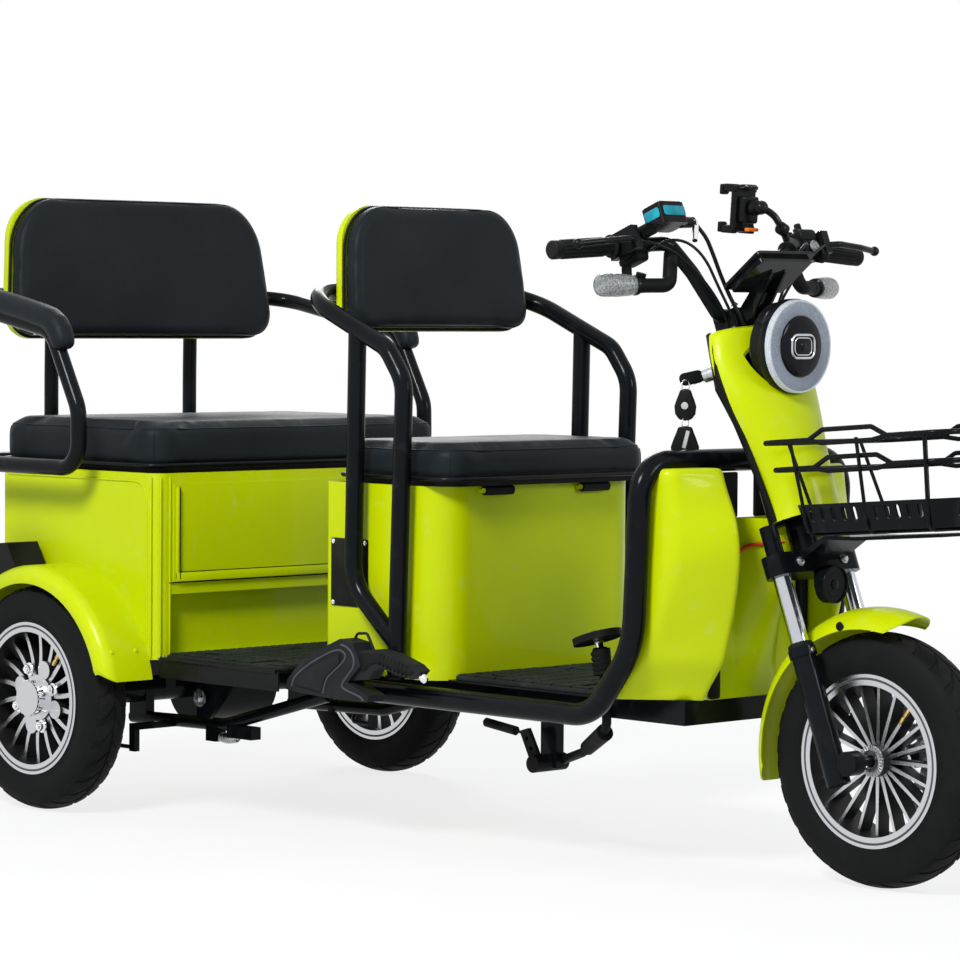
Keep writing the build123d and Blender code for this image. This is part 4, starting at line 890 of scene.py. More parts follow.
# ---------------------------------------------------------------- wheels
@dataclass
class Wheel(Assembly):
    """One wheel: grooved tyre, cast rim, cap and valve."""

    name: str = "front"
    body: Body = Body.FRONT_WHEEL
    centre: Point = (FRONT_X, 0.0, AXLE_Z)
    outer: float = 0.208
    bead: float = 0.127
    flange: float = 0.141
    bulge: float = 0.042
    seat: float = 0.0365
    groove: float = 0.0018
    pitches: int = 30
    outside: int = -1
    side: str = ""

    def named(self, part: str) -> str:
        """Name of one of this wheel's own parts."""
        return f"{self.name}_{part}{self.side}"

    def section(self) -> list[tuple[float, float]]:
        """Half of the tyre's outer section, as distance from its middle and radius."""
        shoulder = (self.bulge * 0.8, self.outer * 0.955)
        widest = (self.flange + self.outer) / 2 - 0.004
        crown = arc((-shoulder[0], shoulder[1]), (0, self.outer), shoulder, 16)[8:]
        wall = arc((self.seat, self.flange), (self.bulge, widest), shoulder, 12)[::-1]
        return crown + wall[1:]

    def casing(self) -> bpy.types.Object:
        """The tyre's body, low by one groove where the tread stands."""
        half = []
        for across, radius in self.section():
            share = min(1.0, max(0.0, (radius - 0.186) / 0.006))
            half.append((radius - self.groove * share, across))
        rounds = [(self.bead, -self.seat)]
        rounds += [(radius, -across) for radius, across in reversed(half)]
        rounds += half[1:] + [(self.bead, self.seat), (self.bead, -self.seat)]
        return lathe(rounds, 144, ring=True)

    def on_crown(self, across: float, rise: float) -> tuple[float, float]:
        """Radius and sideways place of a point given by its run across the tread and its rise."""
        run, points = 0.0, self.section()
        for (y0, r0), (y1, r1) in zip(points, points[1:]):
            step = math.hypot(y1 - y0, r1 - r0)
            if run + step >= abs(across) or (y1, r1) == points[-1]:
                share = (abs(across) - run) / step
                y, r = y0 + (y1 - y0) * share, r0 + (r1 - r0) * share
                out = Vector((r0 - r1, 0, y1 - y0)).normalized()
                sign = 1 if across >= 0 else -1
                return r + out.z * rise, sign * (y + out.x * rise)
            run += step
        return points[0][1], 0.0

    def block(self, inner: float, outer: float, width: float, sweep: float, bow: float) -> bpy.types.Object:
        """One tread block, swept back across the tyre and bowed, laid on the crown.

        Args:
            inner: Run across the tread where it starts.
            outer: Run across the tread where it ends.
            width: Its length round the tyre at its start.
            sweep: How far its end trails its start.
            bow: How far its middle bows.

        Returns:
            The block, about an axle along Y.
        """
        deselect()
        bpy.ops.mesh.primitive_grid_add(x_subdivisions=3, y_subdivisions=10, size=1)
        piece = bpy.context.object
        for vertex in piece.data.vertices:
            along = vertex.co.y + 0.5
            taper = 1.0 - 0.28 * along
            around = vertex.co.x * width * taper + sweep * along + bow * math.sin(math.pi * along)
            vertex.co = (around, inner + (outer - inner) * along, 0)
        with editing(piece, "FACE", True):
            bpy.ops.mesh.extrude_region_move(TRANSFORM_OT_translate={"value": (0, 0, self.groove + 0.0006)})
            bpy.ops.mesh.select_all(action="SELECT")
            bpy.ops.mesh.normals_make_consistent(inside=False)
        for vertex in piece.data.vertices:
            rise = vertex.co.z - self.groove - 0.0006
            radius, side = self.on_crown(vertex.co.y, rise)
            turn = vertex.co.x / self.outer
            vertex.co = (radius * math.sin(turn), side, radius * math.cos(turn))
        return piece

    def tread(self) -> list[bpy.types.Object]:
        """The blocks of both shoulders."""
        pitch = 2 * math.pi * self.outer / self.pitches
        made = []
        for side in (1, -1):
            turns = [Matrix.Rotation(2 * math.pi * (step + (0.5 if side > 0 else 0)) / self.pitches, 4, "Y")
                     for step in range(self.pitches)]
            long = self.block(0.0022, 0.0375, pitch * 0.88, 0.034, 0.008)
            if side < 0:
                long.data.transform(Matrix.Scale(-1, 4, (0, 1, 0)))
                long.data.flip_normals()
            made.append(copies(long, turns))
        return made

    def tyre(self) -> None:
        """The whole tyre, standing for the CAD one."""
        rubber = TyreRubber(self.named("tyre_rubber"), self.centre)
        self.finishes.add(rubber)
        casing = place(self.casing(), ALONG_Y)
        rings = []
        for radius, across, thick in ((0.1845, 0.0385, 0.0011), (0.1475, 0.0385, 0.0012),
            (0.153, 0.0402, 0.0007)):
            for side in (1, -1):
                ring = lathe([
                    (radius - thick, 0), (radius, thick), (radius + thick, 0), (radius, -thick),
                    (radius - thick, 0),
                ], 120, ring=True)
                rings.append(place(ring, at(0, side * across, 0), ALONG_Y))
        whole = place(merged([casing, *self.tread(), *rings]), at(*self.centre))
        self.add(whole, self.named("tyre_grooved"), self.body, Slot.TYRE, rubber.name, 28,
            [self.named("tyre")])

    def valve(self) -> None:
        """A brass valve with its cap, on the rim's barrel."""
        stem = merged([
            lathe([(0.0038, -0.004), (0.0038, 0.014), (0.0028, 0.016), (0.0028, 0.020)], 16),
            lathe([(0.0036, 0.019), (0.0036, 0.029), (0.0026, 0.031)], 16),
        ])
        place(stem, at(*self.centre), spun(38, "Y"), at(0, self.outside * 0.020, 0.112), spun(180, "X"))
        self.add(stem, self.named("valve"), self.body, Slot.STEEL, "brass_fitting")

    def rim(self) -> None:
        """The rim's two finishes."""
        finish = self.finishes.add(CastRim(self.named("rim_cast"), self.centre))
        node = self.frame["nodes"][self.named("rim")]
        if not node.material_slots:
            node.data.materials.append(finish)
        for slot in node.material_slots:
            slot.material = finish

    def hub(self) -> None:
        """The hub's fittings, which each kind of wheel has its own of."""

    def build(self) -> None:
        """Builds the tyre, rim, valve and hub."""
        self.tyre()
        self.rim()
        self.valve()
        self.hub()


@dataclass
class FrontWheel(Wheel):
    """The front wheel, with a fluted hub and a disc."""

    def hub(self) -> None:
        """Flutes round both ends of the hub, the disc and its bolts."""
        for side, label in ((-1, "right"), (1, "left")):
            flute = slab([(-0.0016, 0), (0.0016, 0), (0.0011, 0.016), (-0.0011, 0.016)], 0.0018, 0.0004, 1)
            place(flute, at(0, 0, 0.0302), at(0, 0.0095, 0))
            ring = copies(flute, [spun(360 / 28 * step, "Z") for step in range(28)])
            cone = lathe([(0.012, 0.030), (0.0125, 0.034), (0.0175, 0.034), (0.019, 0.0312), (0.026, 0.030)],
                40)
            whole = place(merged([ring, cone]), at(*self.centre), Matrix.Scale(side, 4, (0, 1, 0)),
                          Matrix.Rotation(math.radians(-90), 4, "X"))
            self.add(whole, f"front_hub_flutes_{label}", self.body, Slot.RIM, "zinc_plate")
        self.paint("brushed_steel_disc", "front_brake_disc")
        head = bolt(0.0055, 0.004)
        bolts = copies(head, [spun(72 * step, "Z") @ at(0.0185, 0, 0) for step in range(5)])
        place(bolts, at(*self.centre), at(0, 0.0381, 0), spun(-90, "X"))
        self.add(bolts, "front_disc_bolts", self.body, Slot.STEEL, "zinc_plate")


@dataclass
class RearWheel(Wheel):
    """A rear wheel, with a domed cap and lug nuts on its outer side."""

    cap: float = 0.0328
    lug_circle: float = 0.055

    def hub(self) -> None:
        """The cap with its notched rim, the nuts and their studs."""
        ends = [(self.cap, 0.018), (self.cap, 0.0385), (self.cap * 0.93, 0.0402), (self.cap * 0.86, 0.0402),
                (self.cap * 0.82, 0.0388), (self.cap * 0.5, 0.0404), (self.cap * 0.24, 0.0412)]
        body = lathe(ends, 60)
        tooth = place(brick((0.0030, 0.0045, 0.0042), 0.0007, 2), at(0, self.cap - 0.0006, 0.0392))
        teeth = copies(tooth, [spun(15 * step, "Z") for step in range(24)])
        outward = at(*self.centre) @ Matrix.Rotation(math.radians(-90 * self.outside), 4, "X")
        self.add(place(merged([body, teeth]), outward), self.named("hub_cap"), self.body, Slot.RIM,
            "chrome_plate")
        nut = merged([
            bolt(0.0095, 0.010, 0.012),
            lathe([(0.0045, 0.009), (0.0045, 0.0135), (0.003, 0.0145)], 16),
        ])
        nuts = copies(nut, [
            Matrix.Rotation(math.radians(20 + 90 * step), 4, "Z") @ at(self.lug_circle, 0,
                0.0205) for step in range(4)
        ])
        self.add(place(nuts, outward), self.named("lug_nuts"), self.body, Slot.STEEL, "chrome_plate")
        drum = lathe([(0.074, -0.036), (0.078, -0.034), (0.078, -0.020), (0.060, -0.016), (0.045, -0.016)],
            48)
        fin = place(brick((0.0022, 0.005, 0.013), 0.0005, 1), at(0, 0.079, -0.027))
        fins = copies(fin, [spun(10 * step, "Z") for step in range(36)])
        self.add(place(merged([drum, fins]), outward), self.named("brake_drum"), self.body, Slot.STEEL,
                 "grey_casting")


# ---------------------------------------------------------------- seats
def snapped(pad: bpy.types.Object, line: Sequence[Point]) -> list[Vector]:
    """The points of a line, each moved onto the nearest place on a pad."""
    found = []
    for point in line:
        _, spot, normal, _ = pad.closest_point_on_mesh(Vector(point))
        found.append(spot + normal * 0.0002)
    return found


def smoothed(outline: Sequence[tuple[float, float]], step: float) -> list[tuple[float, float]]:
    """A closed outline with more points on its long runs, at most a step apart."""
    made = []
    for (x0, y0), (x1, y1) in zip(outline, [*outline[1:], outline[0]]):
        count = max(1, round(math.hypot(x1 - x0, y1 - y0) / step))
        made += [(x0 + (x1 - x0) * n / count, y0 + (y1 - y0) * n / count) for n in range(count)]
    return made


@dataclass
class Cushion:
    """A filled vinyl pad: blown up as cloth and held flat on its base."""

    voxel: float = 0.006
    pressure: float = 4.0
    most: float = 0.012
    frames: int = 20

    def blow(self, piece: bpy.types.Object, keep: Callable[[Vector, Vector], Vector]) -> bpy.types.Object:
        """Remeshes and inflates a piece.

        Args:
            piece: The flat-sided starting shape.
            keep: Given a point's first place and its new place, returns where it may be.

        Returns:
            The same piece, inflated and subdivided once.
        """
        modify(piece, "REMESH", mode="VOXEL", voxel_size=self.voxel, use_smooth_shade=True)
        modify(piece, "SMOOTH", factor=0.5, iterations=4)
        first = [vertex.co.copy() for vertex in piece.data.vertices]
        scene = bpy.context.scene
        choose(piece)
        cloth = piece.modifiers.new("cloth", "CLOTH")
        settings = cloth.settings
        settings.quality = 5
        settings.use_pressure = True
        settings.uniform_pressure_force = self.pressure
        settings.effector_weights.gravity = 0.0
        settings.tension_stiffness = 18.0
        settings.compression_stiffness = 18.0
        settings.bending_stiffness = 0.6
        cloth.point_cache.frame_start = 1
        cloth.point_cache.frame_end = self.frames
        for frame in range(1, self.frames + 1):
            scene.frame_set(frame)
        bpy.ops.object.modifier_apply(modifier=cloth.name)
        scene.frame_set(1)
        for vertex, start in zip(piece.data.vertices, first):
            step = vertex.co - start
            if step.length > self.most:
                step *= self.most / step.length
            vertex.co = keep(start, start + step)
        modify(piece, "SMOOTH", factor=0.4, iterations=2)
        for axis in (0, 1):
            before = [start[axis] for start in first]
            now = [vertex.co[axis] for vertex in piece.data.vertices]
            low, from_low = min(before), min(now)
            stretch = (max(before) - low) / (max(now) - from_low)
            for vertex in piece.data.vertices:
                vertex.co[axis] = low + (vertex.co[axis] - from_low) * stretch
        modify(piece, "SUBSURF", levels=1, render_levels=1)
        return piece


@dataclass(frozen=True)
class SeatSize:
    """Where one seat cushion lies."""

    name: str
    body: Body
    low: Point
    high: Point
    corner: float
    base: float


@dataclass
class Seats(Assembly):
    """The two seat cushions, with their piping and base lips."""

    sizes: Sequence[SeatSize] = (
        SeatSize("rear_seat", Body.REAR_SEAT, (-1.020, -0.365, 0.6405), (-0.552, 0.365, 0.7245), 0.044,
            0.6305),
        SeatSize("driver_seat", Body.DRIVER_SEAT, (-0.184, -0.256, 0.6365), (0.118, 0.256, 0.7025), 0.050,
            0.6265),
    )

    def cushion(self, size: SeatSize) -> None:
        """One crowned cushion."""
        low, high = Vector(size.low), Vector(size.high)
        middle = (low + high) / 2
        span = high - low
        shrink = 0.004
        outline = round_rectangle(span.x - 2 * shrink, span.y - 2 * shrink, size.corner, 8)
        piece = place(slab(outline, span.z - 0.012, 0.014, 4), at(middle.x, middle.y, low.z))
        top = high.z

        def keep(start: Vector, now: Vector) -> Vector:
            """Holds the underside flat, rounds the top and keeps the sides in the box."""
            spread_x = 1 - min(1.0, abs(start.x - middle.x) / (span.x / 2)) ** 4
            spread_y = 1 - min(1.0, abs(start.y - middle.y) / (span.y / 2)) ** 4
            lifted = (start.z - low.z) / span.z
            level = now.z + 0.0075 * lifted * spread_x * spread_y
            wave = noise.noise(Vector((start.x * 5.0, start.y * 5.0, 0))) * 0.0016 * lifted
            return Vector((
                max(low.x, min(high.x, now.x)),
                max(low.y, min(high.y, now.y)),
                max(low.z, min(top, level + wave)),
            ))

        Cushion().blow(piece, keep)
        self.seams(size, piece)
        self.add(piece, f"{size.name}_cushion_filled", size.body, Slot.VINYL, "seat_vinyl", 60,
                 [f"{size.name}_cushion"])

    def seams(self, size: SeatSize, pad: bpy.types.Object) -> None:
        """The sewn welt round the pad's top edge, its corner seams and the lip under it."""
        low, high = Vector(size.low), Vector(size.high)
        middle = (low + high) / 2
        span = high - low
        inset = 0.0125
        loop = round_rectangle(span.x - 2 * inset, span.y - 2 * inset, size.corner - inset, 6)
        level = high.z - 0.0145
        line = snapped(pad, [(x + middle.x, y + middle.y, level) for x, y in smoothed(loop, 0.05)])
        welt = rod(line, 0.0013, 3, 2, True)
        parts = [welt]
        for across in (1, -1):
            for side in (1, -1):
                reach = size.corner * 0.30
                x, y = across * (span.x / 2 - reach) + middle.x, side * (span.y / 2 - reach) + middle.y
                line = [(x, y, low.z + 0.010 + (level - low.z - 0.010) * step / 6) for step in range(7)]
                parts.append(rod(snapped(pad, line), 0.0010, 3, 2))
        self.add(merged(parts), f"{size.name}_seams", size.body, Slot.VINYL, "seat_vinyl", 60)
        ring = round_rectangle(span.x + 0.002, span.y + 0.002, size.corner, 6)
        lip = rod([(x + middle.x, y + middle.y, low.z + 0.003) for x, y in ring], 0.0038, 3, 3, True)
        self.add(lip, f"{size.name}_lip", size.body, Slot.VINYL, "satin_moulding", 60)

    def build(self) -> None:
        """Builds both cushions and dresses their bases."""
        for size in self.sizes:
            self.cushion(size)
        self.paint("black_moulding", "rear_seat_base", "driver_seat_base")


@dataclass(frozen=True)
class BackSize:
    """Where one backrest stands: its face's origin, width and height."""

    name: str
    origin: Point
    width: float
    height: float


@dataclass
class Backrests(Assembly):
    """Backrest pads with rolled edges, on lime shells."""

    sizes: Sequence[BackSize] = (
        BackSize("rear", (-1.018, 0.0, 1.011), 0.655, 0.270),
        BackSize("driver", (-0.172, 0.0, 1.008), 0.444, 0.222),
    )
    lean: float = 6.0
    thick: float = 0.036

    def outline(self, size: BackSize, inset: float) -> list[tuple[float, float]]:
        """The pad's outline, narrower at its top, in its own plane."""
        half, tall = size.width / 2 - inset, size.height / 2 - inset
        points = []
        for turn, (side, up, corner) in enumerate((
            (1, 1, 0.36), (-1, 1, 0.36), (-1, -1, 0.20), (1, -1, 0.20),
        )):
            radius = size.height * corner - inset * 0.5
            for step in range(9):
                angle = math.pi / 2 * (turn + step / 8)
                across = side * (half - radius) + radius * math.cos(angle)
                height = up * (tall - radius) + radius * math.sin(angle)
                points.append((across * (1 - 0.09 * (height + tall) / (2 * tall)), height))
        return points

    def plane(self, size: BackSize) -> Matrix:
        """The pad's plane: X to the left, Y up and Z out of its face."""
        lean = math.radians(self.lean)
        out = Vector((math.cos(lean), 0, math.sin(lean)))
        left = Vector((0, 1, 0))
        up = out.cross(left)
        turn = Matrix((left, up, out)).transposed().to_4x4()
        return at(*size.origin) @ turn

    def pad(self, size: BackSize) -> bpy.types.Object:
        """One pad, blown up in its own plane and then stood in place."""
        piece = place(slab(self.outline(size, 0.0015), self.thick - 0.003, 0.011, 4), at(0, 0, -self.thick))
        width, tall = size.width / 2, size.height / 2

        def keep(start: Vector, now: Vector) -> Vector:
            """Holds the back flat and crowns the face."""
            lifted = (start.z + self.thick) / self.thick
            spread = (1 - min(1, abs(start.x) / width) ** 3) * (1 - min(1, abs(start.y) / tall) ** 3)
            wave = noise.noise(Vector((start.x * 7.0, start.y * 7.0, 3.0))) * 0.0012 * lifted
            return Vector((now.x, now.y, max(-self.thick, min(0.0, now.z + 0.004 * spread * lifted + wave))))

        Cushion(most=0.006).blow(piece, keep)
        edge = snapped(piece, [(x, y, -0.0095) for x, y in self.outline(size, 0.004)])
        seam = rod(edge, 0.0012, 3, 2, True)
        rim = rod([(x, y, -self.thick + 0.003) for x, y in self.outline(size, 0.0006)], 0.0026, 3, 2, True)
        place(piece, self.plane(size))
        place(seam, self.plane(size))
        place(rim, self.plane(size))
        self.add(merged([seam, rim]), f"{size.name}_back_seams", Body.CHASSIS, Slot.VINYL, "seat_vinyl", 60)
        return piece

    def build(self) -> None:
        """Builds both pads as one piece, as the CAD has them, and dresses the shells and posts."""
        pads = merged([self.pad(size) for size in self.sizes])
        self.add(pads, "backrest_pads_filled", Body.CHASSIS, Slot.VINYL, "seat_vinyl", 60, ["backrest_pads"])
        self.paint("lime_gloss", "backrest_shells")
        self.paint("black_enamel", "rear_backrest_posts", "armrest_tubes")


@dataclass
class Armrests(Assembly):
    """Moulded arm pads that lie on top of the tubes."""

    side: float = 0.434

    def pad(self, side: int) -> bpy.types.Object:
        """One arm pad, from its back end over the bend to its front end."""
        stations = (
            ((-0.998, 0.949), 0.0150, 0.016), ((-0.990, 0.950), 0.0225, 0.022),
            ((-0.960, 0.945), 0.0240, 0.0245),
            ((-0.900, 0.934), 0.0245, 0.026), ((-0.840, 0.9225), 0.0245, 0.026),
            ((-0.790, 0.912), 0.0245, 0.026),
            ((-0.765, 0.906), 0.0245, 0.026), ((-0.748, 0.896), 0.0245, 0.026),
            ((-0.7375, 0.884), 0.0240, 0.0255),
            ((-0.730, 0.869), 0.0230, 0.024), ((-0.7262, 0.859), 0.0215, 0.021),
            ((-0.7245, 0.8535), 0.0150, 0.014),
        )
        deselect()
        sides = 24
        bpy.ops.mesh.primitive_circle_add(vertices=sides, radius=1, fill_type="NGON")
        piece = bpy.context.object
        with editing(piece, "FACE", True):
            for _ in stations[1:]:
                bpy.ops.mesh.extrude_region_move(TRANSFORM_OT_translate={"value": (0, 0, 1)})
        for index, ((x, z), wide, deep) in enumerate(stations):
            before = stations[max(0, index - 1)][0]
            after = stations[min(len(stations) - 1, index + 1)][0]
            along = Vector((after[0] - before[0], 0, after[1] - before[1])).normalized()
            up = Vector((-along.z, 0, along.x))
            for vertex in piece.data.vertices[index * sides:(index + 1) * sides]:
                angle = math.atan2(vertex.co.y, vertex.co.x)
                rise = math.sin(angle)
                flat = 0.72 if rise < 0 else 1.0
                vertex.co = Vector((x, side * self.side, z)) + up * deep * rise * flat
                vertex.co.y += wide * math.copysign(abs(math.cos(angle)) ** 0.85, math.cos(angle))
        with editing(piece, "FACE", True):
            bpy.ops.mesh.normals_make_consistent(inside=False)
        return piece

    def build(self) -> None:
        """Builds both pads as one piece and keeps each in the place of its CAD solid."""
        low, high = (Vector(corner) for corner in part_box("armrest_pads"))
        made = []
        for side in (-1, 1):
            piece = self.pad(side)
            Cushion(voxel=0.004, most=0.003).blow(piece, lambda start, now: Vector((
                max(low.x, min(high.x, now.x)), now.y, min(high.z, now.z),
            )))
            made.append(piece)
        pads = merged(made)
        self.add(pads, "armrest_pads_moulded", Body.CHASSIS, Slot.VINYL, "seat_vinyl", 60, ["armrest_pads"])
        for side, label in ((-1, "right"), (1, "left")):
            screws = [
                place(bolt(0.004, 0.0025), at(x, side * self.side, z), spun(180, "X"))
                for x, z in ((-0.94, 0.9065), (-0.81, 0.882))
            ]
            self.add(merged(screws), f"armrest_screws_{label}", Body.CHASSIS, Slot.STEEL, "zinc_plate")


# ---------------------------------------------------------------- body
@dataclass
class Boxes(Assembly):
    """The two lime seat boxes, with their folds, hinges, panel and plate."""

    rear_front: float = -0.534
    rear_half: float = 0.370
    driver_half: float = 0.253

    def strip(self, size: Point, where: Point, edge: float = 0.0012) -> bpy.types.Object:
        """A thin folded strip of sheet."""
        return place(brick(size, edge), at(*where))

    def folds(self) -> None:
        """Corner pillars of the rear box, with two folds each, and the panel's flange."""
        made = []
        for side in (1, -1):
            for inset, wide in ((0.010, 0.0035), (0.032, 0.0030)):
                made.append(self.strip((0.003, wide, 0.330),
                                       (self.rear_front + 0.0008, side * (self.rear_half - inset), 0.459)))
            made.append(self.strip((0.0035, 0.0030, 0.330),
                (self.rear_front - 0.014, side * (self.rear_half + 0.0006), 0.459)))
            made.append(self.strip((0.0045, 0.0060, 0.168), (self.rear_front + 0.0040, side * 0.322, 0.520)))
        made.append(self.strip((0.0050, 0.650, 0.016), (self.rear_front + 0.0042, 0, 0.440)))
        self.add(merged(made), "rear_box_folds", Body.CHASSIS, Slot.LIME, "lime_gloss")
        # Thin black strips along the panel's shut lines, above and below its flange and down its sides:
        # painted shade in the gaps.
        lines = [
            self.strip((0.0014, 0.640, 0.0016), (self.rear_front + 0.0062, 0, 0.4495), 0.0004),
            self.strip((0.0030, 0.680, 0.0020), (self.rear_front + 0.0010, 0, 0.4300), 0.0006),
            self.strip((0.0018, 0.0016, 0.168), (self.rear_front + 0.0064, 0.3185, 0.520), 0.0004),
            self.strip((0.0018, 0.0016, 0.168), (self.rear_front + 0.0064, -0.3185, 0.520), 0.0004),
        ]
        self.add(merged(lines), "rear_box_shut_lines", Body.CHASSIS, Slot.PLASTIC, "black_moulding")

    def side_panel(self) -> None:
        """A raised rolled line round each side of the rear box."""
        made = []
        for side in (1, -1):
            line = [(x, side * (self.rear_half + 0.0002), z) for x, z in (
                (-0.975, 0.6150), (-0.800, 0.6150), (-0.610, 0.6150), (-0.585, 0.6145), (-0.567, 0.604),
                (-0.561, 0.585), (-0.560, 0.540), (-0.560, 0.420), (-0.560, 0.330), (-0.560, 0.300),
            )]
            made.append(rod(line, 0.0022, 3, 2))
        self.add(merged(made), "rear_box_side_beads", Body.CHASSIS, Slot.LIME, "lime_gloss", 60)

    def plate(self) -> None:
        """The blank black plate on the driver box's right side, and its four screws."""
        face = round_rectangle(0.096, 0.120, 0.004, 3)
        plate = place(slab(face, 0.0022, 0.0006), at(-0.138, -self.driver_half, 0.467), spun(90, "X"))
        self.add(plate, "blank_plate", Body.CHASSIS, Slot.PLASTIC, "blank_plate")
        screw = bolt(0.0032, 0.0016, 0.0042)
        screws = copies(screw, [
            at(-0.138 + x * 0.042, -self.driver_half - 0.0021, 0.467 + z * 0.054) @ spun(90, "X")
            for x in (1, -1) for z in (1, -1)
        ])
        self.add(screws, "blank_plate_screws", Body.CHASSIS, Slot.STEEL, "chrome_plate")

    def hinge_bits(self) -> None:
        """Bright hinge leaves and screws under the rear box's front edge and behind the lids."""
        made = []
        for y in (-0.352, -0.318, 0.318, 0.352):
            made.append(self.strip((0.016, 0.020, 0.003), (-0.538, y, 0.3025 - 0.008)))
            made.append(place(bolt(0.0035, 0.003), at(-0.5345, y, 0.296), ALONG_X))
        self.add(merged(made), "rear_box_brackets", Body.CHASSIS, Slot.STEEL, "hinge_zinc")
        leaves = []
        for x, ys, z in ((-0.9975, (-0.200, 0.200), 0.600),):
            for y in ys:
                leaf = place(slab(round_rectangle(0.052, 0.040, 0.004, 3), 0.0016, 0.0004), at(x, y, z),
                    ALONG_X)
                leaves.append(leaf)
                for dy in (-0.014, 0.014):
                    leaves.append(place(bolt(0.0030, 0.0018),
                        at(x + (0.0015 if x > 0 else -0.0015), y + dy, z),
                                        ALONG_X if x > 0 else spun(-90, "Y")))
        self.add(merged(leaves), "lid_hinge_leaves", Body.CHASSIS, Slot.STEEL, "hinge_zinc")
        # Black sleeves over the driver lid's lime hinge knuckles: painted shade, as the place under the seat
        # lip lies in shade.
        barrel = lathe([(0.0078, -0.034), (0.0086, -0.033), (0.0086, 0.033), (0.0078, 0.034)], 28)
        shade_sleeves = copies(barrel, [at(DRIVER_X + 0.282, y, 0.618) @ ALONG_Y for y in (-0.120, 0.120)])
        self.add(shade_sleeves, "driver_hinge_covers", Body.CHASSIS, Slot.PLASTIC, "black_moulding")

    def build(self) -> None:
        """Dresses the boxes and adds what is fixed to them."""
        self.paint("lime_gloss", "rear_box", "driver_seat_box")
        self.paint("black_moulding", "battery_block")
        self.folds()
        self.side_panel()
        self.plate()
        self.hinge_bits()


@dataclass
class Fenders(Assembly):
    """Fenders with their rivets and plugs, and the tail lamps."""

    radius: float = 0.246

    def rivets(self) -> None:
        """Dome rivets near both ends of each rear fender."""
        made = []
        for side in (1, -1):
            for degrees, across in ((66, 0.396), (66, 0.452), (-66, 0.396), (-66, 0.452)):
                dome = lathe([(0.0052, 0), (0.0050, 0.0012), (0.0036, 0.0024), (0.0016, 0.0030)], 20)
                turn = spun(degrees, "Y")
                made.append(place(dome, at(REAR_X, side * across, AXLE_Z), turn,
                    at(0, 0, self.radius - 0.0006)))
        self.add(merged(made), "rear_fender_rivets", Body.CHASSIS, Slot.LIME, "lime_gloss", 50)

    def front_plug(self) -> None:
        """The black plugs on the front fender's sides."""
        for side, label in ((-1, "right"), (1, "left")):
            plug = lathe([(0.0075, 0), (0.0070, 0.0016), (0.0040, 0.0026), (0.0012, 0.0028)], 24)
            turned = Matrix.Rotation(math.radians(90 if side < 0 else -90), 4, "X")
            place(plug, at(0.822, side * 0.0556, 0.424), turned)
            self.add(plug, f"front_fender_plug_{label}", Body.STEERING, Slot.PLASTIC, "black_moulding", 50)

    def lamps(self) -> None:
        """Red and clear lenses over the tail lamps, in three fields."""
        for side, label in ((-1, "right"), (1, "left")):
            for index, (level, tall, finish) in enumerate((
                (0.4665, 0.034, "red_prisms"), (0.4345, 0.022, "clear_prisms"), (0.4110, 0.018, "red_prisms"),
            )):
                lens = slab(round_rectangle(tall, 0.060, 0.005, 4), 0.0035, 0.0014)
                place(lens, at(-0.9762, side * 0.422, level), spun(-90, "Y"))
                self.add(lens, f"tail_lens_{label}_{index}", Body.CHASSIS, Slot.LAMP, finish)

    def build(self) -> None:
        """Dresses the fenders and adds their small parts."""
        self.paint("lime_gloss", "rear_fenders", "front_fender")
        self.paint("satin_moulding", "tail_lamps")
        self.rivets()
        self.front_plug()
        self.lamps()


